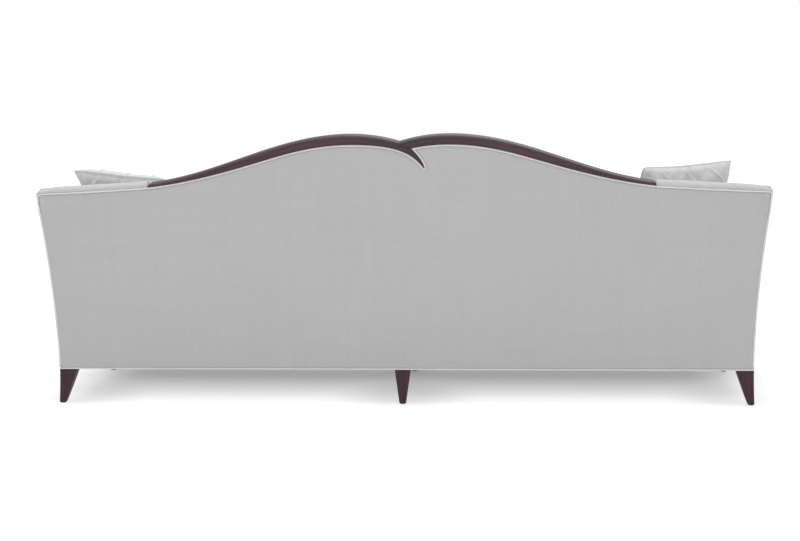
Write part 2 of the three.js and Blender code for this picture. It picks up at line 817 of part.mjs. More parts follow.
const armBoards = {
  outside_arm_panel: {
    outer: 0,
    inner: panelThickness,
    start: armStart,
    rearInset: panelThickness + clearance,
    low: bodyBottomHeight + bottomWeltTop,
    high: underRoll,
    along: 12,
    up: 20,
  },
  arm_front_post: {
    outer: armBoardOuter,
    inner: armBoardInner,
    start: armStart + clearance,
    rear: frontPostRear,
    low: railBottom,
    high: underRoll,
    along: 1,
    up: 8,
    bores: [boltBore(boltOffsetX, frontCornerBoltLine)],
  },
  seat_side_rail: {
    outer: armBoardOuter,
    inner: armBoardInner,
    start: frontPostRear + clearance,
    rearInset: armFrameRear,
    low: railBottom,
    high: () => railBoardTop,
    along: 1,
    up: 2,
  },
  arm_lower_rail: {
    outer: armBoardOuter,
    inner: armBoardInner,
    start: frontPostRear + clearance,
    rearInset: armFrameRear,
    low: bodyBottomHeight + armLowerRailBottom,
    high: () => bodyBottomHeight + armLowerRailBottom + armLowerRailHeight,
    along: 1,
    up: 1,
  },
  inside_arm_pad: {
    outer: armBoardInner + flareGap,
    inner: armThickness,
    start: armStart,
    rearInset: padSeat,
    low: railBoardTop + 2 * weltRadius,
    high: underRoll,
    along: 12,
    up: 8,
    crown: armPadCrown,
  },
};

// The board under the arm's roll, whose lower edge runs parallel to its top
function armTopBoard() {
  const surface = (depth) =>
    steps(12).map((s) =>
      steps(2).map((t) => {
        let y = frontPostRear + clearance;
        let z = underRoll(y);
        for (let i = 0; i < 5; i++) {
          z = underRoll(y) - armTopBoardHeight * (1 - t);
          y = lerp(frontPostRear + clearance, backPlane(z, armFrameRear), s);
        }
        return new THREE.Vector3(outerAt(z) - depth, y, z);
      }),
    );
  return slab(surface(armBoardOuter), surface(armBoardInner));
}

// The rounded top of an arm's section, from the outer side to the inner one
function armRollRing(zBase, outerX, shares) {
  return shares.map((t) => {
    const turn = Math.PI * t;
    const x = outerX - armThickness / 2 + (armThickness / 2) * Math.cos(turn);
    return new THREE.Vector2(x, zBase + rollHeight * Math.sin(turn) ** rollFullness);
  });
}

function armRoll() {
  const rings = steps(12).map((s) =>
    steps(10).map((t) => {
      let y = armStart;
      let point = new THREE.Vector2();
      for (let i = 0; i < 5; i++) {
        const base = armLine(y);
        point = armRollRing(base, outerAt(base), [t])[0];
        y = lerp(armStart, backPlane(point.y, armRollRear + clearance), s);
      }
      return new THREE.Vector3(point.x, y, point.y);
    }),
  );
  return loft(rings);
}

// The outline of the arm seen from the front, from the bottom of its outer side over the top and down again
function armOutline() {
  const base = armLine(frontLine);
  const bottom = bodyBottomHeight + bottomWeltTop;
  const outer = steps(8).map((t) => {
    const z = lerp(bottom, base, t);
    return new THREE.Vector2(outerAt(z), z);
  });
  const top = armRollRing(base, outerAt(base), steps(8).slice(1, 8));
  const inner = outer.map((p) => new THREE.Vector2(p.x - armThickness, p.y)).reverse();
  return [...outer, ...top, ...inner];
}

// Boards drawn upright in x and z, standing out along y
function facingBoard(outline, from, to) {
  return board(outline, -to, -from).rotateX(Math.PI / 2);
}

function armFacing() {
  const outline = offsetPath(armWeltPath(), weltSeat);
  return facingBoard(outline, frontLine, frontLine + facingThickness);
}

const armWeltPath = () => offsetPath(armOutline(), weltRadius);

function armFacingWelt() {
  const cord = planarCord(armWeltPath(), weltRadius, 6, false);
  return cord.rotateX(Math.PI / 2).translate(0, frontLine + weltRadius, 0);
}

// Seat frame
const frontRailFace = frontLine + borderSetback + borderThickness + clearance;
const frontRailInner = frontRailFace + boardThickness;
const rearRailOuter = backPlane(railBottom, frameFace);
const rearRailInner = rearRailOuter - boardThickness;
const rearRailEnd = bottomHalfWidth - frameFace - postWidth - clearance;

const frontMiddleBoltLine = frontRailFace + boardThickness / 2;

// A rail with the spring clips that are nailed on it, one for each spring's end
function frontSeatRail() {
  const body = box(-frontRailEnd, frontRailEnd, frontRailFace, frontRailInner, railBottom, railBoardTop);
  return join([cut(body, [boltBore(0, frontMiddleBoltLine)]), ...springClips(springFront)]);
}

function rearSeatRail() {
  const body = box(-rearRailEnd, rearRailEnd, rearRailInner, rearRailOuter, railBottom, railBoardTop);
  return join([cut(body, [boltBore(0, rearBoltLine)]), ...springClips(springRear)]);
}

function seatStretcher(x) {
  const half = boardThickness / 2;
  const [front, rear] = [frontRailInner + clearance, rearRailInner - clearance];
  return box(x - half, x + half, front, rear, railBottom, railBottom + stretcherHeight);
}

// A triangular block glued into a corner of the seat frame. Inward points from its rail into the seat.
function cornerBlock(y, inward) {
  const x = frontRailEnd;
  const z0 = railBottom + cornerBlockBottom;
  const outline = [
    new THREE.Vector2(x, y),
    new THREE.Vector2(x, y + inward * cornerBlockReach),
    new THREE.Vector2(x - cornerBlockReach, y),
  ];
  return board(outline, z0, z0 + cornerBlockHeight);
}

// Sinuous springs, crowned between the front and the rear rail
const springFront = frontRailFace + boardThickness / 2;
const springRear = rearRailInner + boardThickness / 2;
const springSeat = railBoardTop + clipThickness + clearance + springWireRadius;
const springLine = (t) => springSeat + springRise * Math.sin(Math.PI * t);

function seatSpring(x) {
  const centres = [];
  for (let i = 0; i <= springHalfWaves; i++) {
    const side = i % 2 === 0 ? springAmplitude : -springAmplitude;
    for (const share of springBendShares) {
      const t = (i + share) / (springHalfWaves + 1);
      centres.push(new THREE.Vector3(x + side, lerp(springFront, springRear, t), springLine(t)));
    }
  }
  const rings = centres.map((p, i) => {
    const before = centres[Math.max(i - 1, 0)];
    const after = centres[Math.min(i + 1, centres.length - 1)];
    const into = new THREE.Vector3().subVectors(p, before).normalize();
    const away = new THREE.Vector3().subVectors(after, p).normalize();
    const along = new THREE.Vector3().addVectors(into, away).normalize();
    const across = new THREE.Vector3(0, 0, 1).cross(along).normalize();
    const above = new THREE.Vector3().crossVectors(along, across);
    const mitre = i === 0 || i === centres.length - 1 ? 1 : 1 / Math.max(along.dot(into), 0.6);
    return [0, 1, 2, 3].map((k) => {
      const turn = (Math.PI / 2) * k;
      return p
        .clone()
        .addScaledVector(across, springWireRadius * mitre * Math.cos(turn))
        .addScaledVector(above, springWireRadius * Math.sin(turn));
    });
  });
  return loft(rings);
}

const springPlaces = steps(springCount - 1).map((t) => (t - 0.5) * (springCount - 1) * springPitch);

function springClips(y) {
  const [dx, dy] = [clipWidth / 2, clipLength / 2];
  const z0 = railBoardTop - clipThickness;
  return springPlaces.map((x) => box(x - dx, x + dx, y - dy, y + dy, z0, railBoardTop + clipThickness));
}

// The springs with the tie wires that are crimped on them from one side to the other
function seatSprings() {
  const first = springPlaces[0] - springAmplitude;
  const last = springPlaces[springCount - 1] + springAmplitude;
  const ties = tieWireShares.map((share) => {
    const y = lerp(springFront, springRear, share);
    const z = springLine(share);
    const half = tieWireRadius;
    return box(first, last, y - half, y + half, z - half, z + half);
  });
  return join([...springPlaces.map(seatSpring), ...ties]);
}

// The deck over the springs: it arches with them and rests on both rails.
const deckSide = outerAt(railBoardTop) - armThickness - armPadCrown - seatGap;

function seatDeck() {
  const front = frontRailFace;
  const rear = backPlane(railBoardTop, frameInner) - seatGap;
  const lift = springWireRadius + clearance;
  const outline = [
    new THREE.Vector2(front, deckTopHeight),
    new THREE.Vector2(front, springSeat + lift),
  ];
  for (const t of steps(12)) {
    const y = lerp(frontRailInner, rearRailInner, t);
    const spring = springLine((y - springFront) / (springRear - springFront));
    outline.push(new THREE.Vector2(y, Math.min(spring + lift, deckTopHeight - deckThickness / 2)));
  }
  outline.push(new THREE.Vector2(rear, springSeat + lift), new THREE.Vector2(rear, deckTopHeight));
  const geometry = board(outline, -deckSide, deckSide);
  // The outline is drawn in depth and height, so x, y and z change places.
  return geometry.applyMatrix4(new THREE.Matrix4().set(0, 0, 1, 0, 1, 0, 0, 0, 0, 1, 0, 0, 0, 0, 0, 1));
}

// Front border between the arms
function frontBorder() {
  const bottom = bodyBottomHeight + bottomWeltTop;
  const side = outerAt(bottom) - armThickness - armPadCrown - seatGap;
  const surface = (lineAt) =>
    steps(12).map((s) =>
      steps(4).map((t) => {
        return new THREE.Vector3(lerp(-side, side, s), lineAt(s, t), lerp(bottom, deckTopHeight, t));
      }),
    );
  const near = frontLine + borderSetback;
  const swell = (s, t) => borderCrown * (1 - (2 * s - 1) ** 8) * (1 - (2 * t - 1) ** 4);
  const face = surface((s, t) => near + borderCrown - swell(s, t));
  return slab(face, surface(() => near + borderThickness));
}

// Seat cushions
const cushionBottom = deckTopHeight + seatGap;
const cushionTopHeight = cushionBottom + cushionHeight;
const cushionFront = frontLine + cushionFrontSetback;
const cushionRear = backPlane(heightAt(padBottomLine, padBottomDepth), padBottomDepth) - cushionBackGap;
const cushionOuter = outerAt(cushionBottom) - armThickness - armPadCrown - 2 * seatGap;

function cushionTopAt(u, v) {
  return cushionTopHeight + cushionCrown * (1 - Math.abs(u) ** 3) * (1 - Math.abs(v) ** 3);
}

function cushionPoint(u, v, flare) {
  const inner = seatGap * 2;
  const half = (cushionOuter + flare - inner) / 2;
  const depth = (cushionRear - cushionFront) / 2;
  const pullX = 1 - (cushionDrawIn / half) * (1 - v * v) * Math.abs(u);
  const pullY = 1 - (cushionDrawIn / depth) * (1 - u * u) * Math.abs(v);
  const middle = new THREE.Vector2(inner + half, (cushionFront + cushionRear) / 2);
  return middle.add(new THREE.Vector2(u * half * pullX, v * depth * pullY));
}

function seatCushion() {
  const surface = (flare, heightOf) =>
    cushionShares.map((u) =>
      cushionShares.map((v) => {
        const p = cushionPoint(u, v, flare);
        return new THREE.Vector3(p.x, p.y, heightOf(u, v));
      }),
    );
  return slab(surface(cushionFlare, cushionTopAt), surface(0, () => cushionBottom));
}

// How high a point lies over the top of the seat cushion. Past the cushion's edges nothing carries it.
function heightOverSeat({ x, y, z }) {
  const inner = seatGap * 2;
  const u = (Math.abs(x) - inner) / ((cushionOuter - inner) / 2) - 1;
  const v = (y - cushionFront) / ((cushionRear - cushionFront) / 2) - 1;
  if (Math.max(Math.abs(u), Math.abs(v)) > 1) return Infinity;
  return z - cushionTopAt(u, v);
}

// A throw pillow that stands on the seat cushion, turned into the corner and leaning back. Its top outer
// corner spills over the arm. The pose gives the place of its inner bottom corner.
function throwPillow({ cornerInset, setback, turn, lean, tilt, spill }, sign) {
  const across = new THREE.Vector3(Math.cos(turn), -Math.sin(turn), 0);
  const backwards = new THREE.Vector3(Math.sin(turn), Math.cos(turn), 0);
  const upwards = backwards.multiplyScalar(Math.sin(lean)).setZ(Math.cos(lean));
  const normal = new THREE.Vector3().crossVectors(across, upwards);
  across.applyAxisAngle(normal, tilt);
  upwards.applyAxisAngle(normal, tilt);
  const corner = new THREE.Vector3(cushionOuter - cornerInset, backLine - setback, cushionTopHeight);
  const pull = (2 * pillowDrawIn) / pillowSide;
  const surface = (side) =>
    steps(pillowSteps).map((s) =>
      steps(pillowSteps).map((t) => {
        const a = Math.sin(Math.PI * (s - 0.5));
        const b = Math.sin(Math.PI * (t - 0.5));
        const u = (1 + a * (1 - pull * (1 - b * b))) / 2;
        const v = (1 + b * (1 - pull * (1 - a * a))) / 2;
        const fill = ((1 - a * a) * (1 - b * b)) ** pillowFullness;
        const tuck = pillowTuck(a, b) * Math.min(1, 3 * fill);
        const thickness = pillowEdge + pillowHalfThickness * fill - tuck;
        const point = corner.clone().addScaledVector(normal, side * thickness);
        point.addScaledVector(across, u * pillowSide).addScaledVector(upwards, v * pillowSide);
        point.x += spill * u ** 2 * Math.max(0, 1 - (1 - v) / pillowSpillShare) ** 1.5;
        return point;
      }),
    );
  const surfaces = [surface(1), surface(-1)];
  const points = surfaces.flat(2);
  const sink = Math.min(...points.map(heightOverSeat));
  for (const p of points) {
    p.z += seatGap - sink;
    p.x *= sign;
  }
  return slab(...surfaces);
}

// How deep the diagonal tucks pull the cover in, at a place from -1 to 1 each way
function pillowTuck(a, b) {
  const waves = pillowSide / (2 * pillowTuckPitch);
  const along = Math.abs(Math.sin(Math.PI * waves * (a + b)));
  const other = Math.abs(Math.sin(Math.PI * waves * (a - b)));
  return pillowTuckDepth * (1 - Math.sqrt(Math.min(along, other)));
}

// A leg whose two outer faces stand upright and whose inner faces taper. A middle leg tapers on both sides.
function leg({ outerX, topX, outerY, facing, isMiddle }) {
  const levels = steps(4);
  const rings = levels.map((t) => {
    const z = lerp(0, bodyBottomHeight - clearance, t);
    const x = lerp(legBottom, topX, t);
    const y = lerp(legBottom, legTop, t);
    const kick = legKick * (1 - t) ** 2;
    const endX = outerX + (isMiddle ? 0 : kick);
    const x1 = isMiddle ? x / 2 : endX;
    const x0 = isMiddle ? -x / 2 : endX - x;
    const yOuter = outerY + facing * kick;
    const yInner = yOuter - facing * y;
    const [y0, y1] = [Math.min(yOuter, yInner), Math.max(yOuter, yInner)];
    const c = t === 0 ? 2 * legChamfer : legChamfer;
    return [
      [x0 + c, y0],
      [x1 - c, y0],
      [x1, y0 + c],
      [x1, y1 - c],
      [x1 - c, y1],
      [x0 + c, y1],
      [x0, y1 - c],
      [x0, y0 + c],
    ].map(([px, py]) => new THREE.Vector3(px, py, z));
  });
  return loft(rings);
}

const rearLegFace = backLine - legSetback;
const frontLegFace = frontLine + legSetback;
const rearLegLines = { outerY: rearLegFace, facing: 1 };
const frontLegLines = { outerY: frontLegFace, facing: -1 };
const legPlaces = [
  { name: "left_rear_leg", sign: 1, isMiddle: false, boltY: rearBoltLine, ...rearLegLines },
  { name: "right_rear_leg", sign: -1, isMiddle: false, boltY: rearBoltLine, ...rearLegLines },
  { name: "middle_rear_leg", sign: 1, isMiddle: true, boltY: rearBoltLine, ...rearLegLines },
  { name: "left_front_leg", sign: 1, isMiddle: false, boltY: frontCornerBoltLine, ...frontLegLines },
  { name: "right_front_leg", sign: -1, isMiddle: false, boltY: frontCornerBoltLine, ...frontLegLines },
  { name: "middle_front_leg", sign: 1, isMiddle: true, boltY: frontMiddleBoltLine, ...frontLegLines },
];

const boltXOf = (place) => (place.isMiddle ? 0 : place.sign * boltOffsetX);

function legAt(place) {
  const shape = leg({
    outerX: bottomHalfWidth,
    topX: place.isMiddle ? middleLegTop : legTop,
    outerY: place.outerY,
    facing: place.facing,
    isMiddle: place.isMiddle,
  });
  const x = place.isMiddle ? 0 : boltOffsetX;
  const y = place.boltY;
  const half = platePlan / 2;
  const plate = box(x - half, x + half, y - half, y + half, railBottom - plateSink, railBottom - clearance);
  const bolt = bar(x, y, railBottom - plateSink, railBottom + boltReach, boltRadius, 10);
  const whole = join([shape, plate, bolt]);
  return place.sign > 0 ? whole : mirrored(whole);
}

// The same solid on the other side of the sofa
function mirrored(geometry) {
  const flat = geometry.index ? geometry.toNonIndexed() : geometry.clone();
  const position = flat.getAttribute("position");
  const points = [];
  const triangles = [];
  for (let i = 0; i < position.count; i++) {
    points.push(new THREE.Vector3(-position.getX(i), position.getY(i), position.getZ(i)));
  }
  for (let i = 0; i < points.length; i += 3) triangles.push([i, i + 1, i + 2]);
  return closedSolid(points, triangles);
}

function dustCover() {
  const z0 = bodyBottomHeight + dustCoverRise;
  const sheet = box(
    -bottomHalfWidth + frameFace,
    bottomHalfWidth - frameFace,
    frontLine + frameFace,
    backLine - 2 * frameFace,
    z0,
    z0 + dustCoverThickness,
  );
  const reach = platePlan / 2 + clearance;
  const notches = legPlaces.map((p) => {
    const x = boltXOf(p);
    const outwards = p.isMiddle ? 0 : p.sign * overallDepth;
    const [x0, x1] = [Math.min(x - reach, x + outwards), Math.max(x + reach, x + outwards)];
    const rim = p.outerY + p.facing * cutOverrun;
    const inner = p.boltY - p.facing * reach;
    return box(x0, x1, Math.min(rim, inner), Math.max(rim, inner), z0 - cutOverrun, z0 + 2 * cutOverrun);
  });
  return cut(sheet, notches);
}

function bottomWelt() {
  const x = bottomHalfWidth - weltRadius;
  const y0 = frontLine + weltRadius;
  const y1 = backLine - weltRadius;
  const corners = [
    [x, y1, 0],
    [-x, y1, 1],
    [-x, y0, 2],
    [x, y0, 3],
  ];
  const path = [];
  for (const [cx, cy, quarter] of corners) {
    const centre = new THREE.Vector2(
      cx - Math.sign(cx) * bottomWeltCorner,
      cy - Math.sign(cy) * bottomWeltCorner,
    );
    for (const t of steps(3)) {
      const turn = (Math.PI / 2) * (quarter + t);
      path.push(
        new THREE.Vector2(
          centre.x + bottomWeltCorner * Math.cos(turn),
          centre.y + bottomWeltCorner * Math.sin(turn),
        ),
      );
    }
  }
  return planarCord(path, weltRadius, 6, true).translate(0, 0, bodyBottomHeight + weltRadius);
}

const finishes = {
  fabric: new THREE.MeshStandardMaterial({ color: fabric, roughness: 0.95, metalness: 0 }),
  piping: new THREE.MeshStandardMaterial({ color: 0xcfcfcf, roughness: 0.95, metalness: 0 }),
  pillow: new THREE.MeshStandardMaterial({ color: 0xd2d2d2, roughness: 0.8, metalness: 0 }),
  show_wood: new THREE.MeshStandardMaterial({ color: espresso, roughness: 0.35, metalness: 0 }),
  frame_wood: new THREE.MeshStandardMaterial({ color: 0xc9a878, roughness: 0.75, metalness: 0 }),
  spring_steel: new THREE.MeshStandardMaterial({ color: 0x6b6d70, roughness: 0.35, metalness: 1 }),
  webbing: new THREE.MeshStandardMaterial({ color: 0xb79b6c, roughness: 0.95, metalness: 0 }),
  dust_cloth: new THREE.MeshStandardMaterial({ color: 0x2b2b2d, roughness: 0.95, metalness: 0 }),
};

const sofa = new THREE.Group();
sofa.add(back);

function add(parent, name, geometry, finish) {
  const mesh = new THREE.Mesh(geometry, finishes[finish]);
  mesh.name = name;
  parent.add(mesh);
}

// Adds a piece of the left end and the same piece on the right.
function addPair(parent, name, geometry, finish) {
  add(parent, `left_${name}`, geometry, finish);
  add(parent, `right_${name}`, mirrored(geometry), finish);
}

// Show wood and outer back
add(back, "left_top_rail", leftTopRail(), "show_wood");
add(back, "right_top_rail", rightTopRail(), "show_wood");
add(back, "outside_back_panel", outsideBackPanel(), "fabric");
add(back, "outside_back_welt", outsideBackWelt(), "piping");
addPair(back, "back_roll", backRoll(), "fabric");

// Back frame, webbing and pad
add(back, "back_crest_board", crestBoard(), "frame_wood");
addPair(back, "back_post", backPost(), "frame_wood");
add(back, "back_middle_upright", backUpright(0), "frame_wood");
addPair(back, "back_upright", backUpright(uprightOffset), "frame_wood");
add(back, "back_lower_rail", lowerBackRail(), "frame_wood");
add(back, "back_webbing", backWebbing(), "webbing");
add(back, "inside_back_pad", insideBackPad(), "fabric");

// Arms
for (const [name, settings] of Object.entries(armBoards)) {
  const finish = name.includes("panel") || name.includes("pad") ? "fabric" : "frame_wood";
  addPair(sofa, name, armBoard(settings), finish);
}
addPair(sofa, "arm_top_board", armTopBoard(), "frame_wood");
addPair(sofa, "arm_roll", armRoll(), "fabric");
addPair(sofa, "arm_facing", armFacing(), "fabric");
addPair(sofa, "arm_facing_welt", armFacingWelt(), "piping");

// Seat
add(sofa, "front_seat_rail", frontSeatRail(), "frame_wood");
add(sofa, "rear_seat_rail", rearSeatRail(), "frame_wood");
add(sofa, "seat_middle_stretcher", seatStretcher(0), "frame_wood");
addPair(sofa, "seat_stretcher", seatStretcher(frontRailEnd / 2), "frame_wood");
addPair(sofa, "front_corner_block", cornerBlock(frontRailInner + clearance, 1), "frame_wood");
addPair(sofa, "rear_corner_block", cornerBlock(rearRailInner - clearance, -1), "frame_wood");
add(sofa, "seat_springs", seatSprings(), "spring_steel");
add(sofa, "seat_deck", seatDeck(), "fabric");
add(sofa, "front_border", frontBorder(), "fabric");
addPair(sofa, "seat_cushion", seatCushion(), "fabric");
add(sofa, "dust_cover", dustCover(), "dust_cloth");
add(sofa, "bottom_welt", bottomWelt(), "piping");

// Pillows
add(sofa, "left_throw_pillow", throwPillow(leftPillowPose, 1), "pillow");
add(sofa, "right_throw_pillow", throwPillow(rightPillowPose, -1), "pillow");

// Legs
for (const place of legPlaces) add(sofa, place.name, legAt(place), "show_wood");

export default sofa;
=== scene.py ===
"""A camelback sofa with a carved show-wood top rail, dressed for rendering.

All lengths are in metres, in the frame of the CAD model: +X is the sitter's left, +Y the back, +Z up.
"""

import math

import bpy
import numpy as np
from mathutils import Matrix, Vector, geometry, noise


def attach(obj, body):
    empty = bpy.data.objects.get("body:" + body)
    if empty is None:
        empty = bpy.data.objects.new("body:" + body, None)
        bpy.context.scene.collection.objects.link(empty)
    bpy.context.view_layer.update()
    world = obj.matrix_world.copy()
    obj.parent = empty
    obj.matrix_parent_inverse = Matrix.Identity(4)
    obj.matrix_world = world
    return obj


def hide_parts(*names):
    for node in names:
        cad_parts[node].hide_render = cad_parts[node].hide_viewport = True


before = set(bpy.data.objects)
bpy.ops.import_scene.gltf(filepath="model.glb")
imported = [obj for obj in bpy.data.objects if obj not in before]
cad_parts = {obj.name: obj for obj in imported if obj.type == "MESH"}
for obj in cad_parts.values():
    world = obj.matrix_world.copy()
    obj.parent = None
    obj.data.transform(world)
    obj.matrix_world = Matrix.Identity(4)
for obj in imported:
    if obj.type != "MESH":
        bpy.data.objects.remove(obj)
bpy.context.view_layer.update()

# Body
OVERALL_DEPTH = 0.930
BODY_BOTTOM = 0.122
BOTTOM_HALF_WIDTH = 1.226
BACK_RAKE = math.radians(8)
CLEARANCE = 0.0003
SEAT_GAP = 0.0005
PANEL_THICKNESS = 0.008
COVER_THICKNESS = 0.0058
FLARE_GAP = 0.0008

# The flare of both ends
FLARE_KNEE_HEIGHT = 0.560
FLARE_AT_KNEE = 0.0386
FLARE_TOP_HEIGHT = 0.634

# The double hump, up the raked back
HUMP_PEAK_OFFSET = 0.168
HUMP_PEAK_HEIGHT = 0.833
HUMP_INNER_RADIUS = 0.568
CREST_FOOT_OFFSET = 0.959
CREST_FOOT_HEIGHT = 0.6626

# The show-wood rail and its tail
RAIL_HEIGHT = 0.030
RAIL_TIP_HEIGHT = 0.0095
RAIL_TAPER_START = 0.430
RAIL_END = 0.876
RAIL_END_RAKE = 0.006
RAIL_PROUD = 0.003
RAIL_DEPTH = 0.062
RAIL_BEVEL = 0.0035
RAIL_REAR_BEVEL = 0.006
RAIL_EASING = 0.0008
RAIL_SHARP_TURN = math.radians(32)
TAIL_REACH = 0.0862
TAIL_DROP = 0.0837
TAIL_THICKNESS = 0.011
TAIL_TIP_HEIGHT = 0.0006
TAIL_BEVEL = 0.0009
NOTCH_OFFSET = 0.0409
NOTCH_DROP = 0.0134
TAIL_SHARES = {"outer": -0.076, "inner": 0.572, "inner_drop": 0.47, "crook": 0.993, "crook_drop": 0.73}

# Piping
WELT_RADIUS = 0.0035
WELT_STAND = 0.0024
WELT_CORNER_RADIUS = 0.012
BOTTOM_WELT_CORNER_SHARE = 1.3
SEW_OVERLAP = 0.0004
CORNER_WELT_HEIGHT = 0.634
ROLL_WELT_POWER = 1.3
NOTCH_WELT_REACH = 0.97
NOTCH_WELT_TAPER = 0.8

# Outside back
BACK_CELL = 0.016
BACK_CROWN = 0.0012
BACK_CROWN_HEIGHT = 0.7
BACK_DRAW = (0.3, 1.5)
BACK_DRAW_START = 0.5
BACK_DRAW_SPAN = 0.12

# Rolls along the tops
ROLL_HEIGHT = 0.018
ROLL_PROUD = 0.001
ROLL_ROUND = 0.115
ROLL_FULLNESS = 0.6
BACK_ROLL_DEPTH = 0.046
ARM_THICKNESS = 0.096
ARM_FRONT_HEIGHT = 0.622
ARM_SWEEP_POWER = 1.8
ARM_PAD_CROWN = 0.006
ARM_REAR_SINK = 0.007
OUTSIDE_ARM_SIZE = (0.87, 0.57)
INSIDE_ARM_SIZE = (0.83, 0.4)
ARM_ROLL_LENGTH = 0.84

# Seat
RAIL_BOARD_TOP = 0.240
BOARD_THICKNESS = 0.032
DECK_TOP = 0.299
CUSHION_HEIGHT = 0.148
CUSHION_CROWN = 0.016
CUSHION_FLARE = 0.007
CUSHION_DRAW_IN = 0.005
CUSHION_FRONT_SETBACK = 0.003
CUSHION_BACK_GAP = 0.004
CUSHION_CORNER = 0.022
CUSHION_SEAM = 0.007
CUSHION_WELT_RADIUS = 0.003
CUSHION_CAP = 0.014
CUSHION_PRESSURE = 5.0
CUSHION_SLACK = 0.012
FILL_FRAMES = 20
BORDER_SETBACK = 0.004
BORDER_THICKNESS = 0.026
BORDER_CROWN = 0.004
BORDER_HEIGHT = 0.17

# Inside back
PAD_SEAT = 0.0452
PAD_BOTTOM_DEPTH = 0.165
PAD_TOP_DEPTH = 0.092
PAD_EDGE_DEPTH = 0.066
PAD_LUMBAR = 0.014
PAD_BOTTOM_LINE = 0.174
PAD_SHARES = {"lumbar": 0.55, "top_round": 0.16, "side_round": 0.045, "side_depth": 0.55}

# Legs
LEG_TOP = 0.060
LEG_BOTTOM = 0.022
MIDDLE_LEG_TOP = 0.055
LEG_KICK = 0.003
LEG_SETBACK = 0.004
LEG_EDGE = 0.0022
FOOT_ROUND = 0.007

# Throw pillows
PILLOW_SIDE = 0.409
PILLOW_HALF_THICKNESS = 0.062
PILLOW_FILL_POWER = 0.32
PILLOW_DRAW_IN = 0.007
PILLOW_CELLS = 48
PILLOW_CAP = 0.022
PILLOW_PRESSURE = 4.0
TUCK_DEPTH = 0.003
TUCK_RIDGE = 0.005
TUCK_WIDTH = 0.004
PILLOW_TUCK_PITCH = 0.1186
PILLOW_TUCK_PHASE = 0.27
PILLOW_BEND_SHARE = 0.4
PUCKER_DEPTH = 0.0016
PUCKER_REACH = 0.014
PUCKER_WAVES = ((1, 310, 1), (0.7, 187, 2), (0.5, 93, -1))
PILLOW_CORNER_EASE = 0.02
LEFT_PILLOW = {
    "inset": 0.358,
    "setback": 0.190,
    "rise": 0.0045,
    "turn": math.radians(27.3),
    "lean": math.radians(24),
    "bend": math.radians(28),
    "tilt": math.radians(4.4),
    "slump": 0.983,
    "spill": 0.008,
}
RIGHT_PILLOW = {
    "inset": 0.3383,
    "setback": 0.126,
    "rise": -0.0005,
    "turn": math.radians(36),
    "lean": math.radians(14),
    "bend": math.radians(8),
    "tilt": math.radians(2.4),
    "slump": 0.978,
    "spill": 0.004,
}

# Webbing and dust cover
WEBBING_WIDTH = 0.050
WEBBING_THICKNESS = 0.002
WEBBING_COUNT = 12
WEBBING_SIDE_MARGIN = 0.1227
WEBBING_ROWS = (0.300, 0.450)
STRAP_CELL = 0.02
STRAP_WEAVE = 0.0011
STRAP_HALF_THICKNESS = 0.0006
STRAP_SECTION = ((-1, -0.4), (-0.97, -1), (0.97, -1), (1, -0.4), (1, 0.4), (0.97, 1), (-0.97, 1), (-1, 0.4))
TACK_RAIL_BOTTOM = 0.176
CREST_BOARD_HEIGHT = 0.110
POST_WIDTH = 0.060
DUST_COVER_THICKNESS = 0.0017
DUST_COVER_RISE = 0.0008
DUST_COVER_SAG = 2.2
PLATE_REACH = 0.0153
FRONT_CORNER_BOLT_LINE = -0.4349
FRONT_MIDDLE_BOLT_LINE = -0.4187

# How far from a sewn edge the rows of a fabric mesh lie, and the rounding that they follow
EDGE_ROWS = (0.0, 0.0005, 0.0013, 0.0024, 0.0038)
EDGE_ROUND = 0.004

# The paper on the floor
FLOOR_REACH = 40.0
# Where the floor's glow is painted darker: a painted shadow under the sofa and round the legs' feet.
SHADE_WIDTH = 1.05
SHADE_SIDE_FALL = 1.63
SHADE_REAR = -0.55
SHADE_FRONT = -0.46
SHADE_FRONT_FALL = 2
SHADE_RANGE = 0.78
SHADED_PAPER = (0.09,) * 3
LIT_PAPER = (0.84,) * 3
LEG_PITCH = 1.2
LEG_SHADE_LINE = 0.2
LEG_SHADE_RANGE = (0.05, 0.3)
LEG_SHADE = 0.25
PLAIN_PAPER = (0.95,) * 3
SEEN_PAPER = (0.45,) * 3

# The light of the room itself
ROOM_LIGHT = 0.76

# The photograph's camera
CAMERA_DISTANCE = 6.0
CAMERA_HEIGHT = 1.026
CAMERA_AZIMUTH = math.radians(3.684)
CAMERA_PITCH = math.radians(5.251)
CAMERA_ROLL = math.radians(-0.387)
CAMERA_SIDE = 0.0061
CAMERA_LENS = 77.36


def steps(count):
    return [i / count for i in range(count + 1)]


def lerp(a, b, t):
    return a + (b - a) * t


def clamp(value, low=0.0, high=1.0):
    return max(low, min(high, value))


def ripple(seed, *place):
    """Smooth noise from -1 to 1, the same on every run."""
    x, y, z = (*place, 0.0, 0.0)[:3]
    return noise.noise(Vector((x + seed * 7.31, y - seed * 3.17, z + seed * 1.93)))


class Field:
    """One output socket of a material, used in plain expressions."""

    def __init__(self, finish, socket):
        self.finish = finish
        self.socket = socket

    def math(self, operation, *values):
        return self.finish.node("Math", {"operation": operation}, dict(enumerate(values)))

    def __add__(self, other):
        return self.math("ADD", self, other)

    def __sub__(self, other):
        return self.math("SUBTRACT", self, other)

    def __rsub__(self, other):
        return self.math("SUBTRACT", other, self)

    def __mul__(self, other):
        return self.math("MULTIPLY", self, other)

    def __pow__(self, other):
        return self.math("POWER", self, other)

    def __abs__(self):
        return self.math("ABSOLUTE", self)

    __radd__ = __add__
    __rmul__ = __mul__

    def sine(self):
        return self.math("SINE", self)

    def over(self, limit):
        return self.math("GREATER_THAN", self, limit)

    def larger(self, other):
        return self.math("MAXIMUM", self, other)

    def smaller(self, other):
        return self.math("MINIMUM", self, other)

    def between(self, low, high):
        """0 below low, 1 above high, and a smooth step between them."""
        sockets = {0: self, 1: low, 2: high}
        return self.finish.node("MapRange", {"interpolation_type": "SMOOTHSTEP"}, sockets)


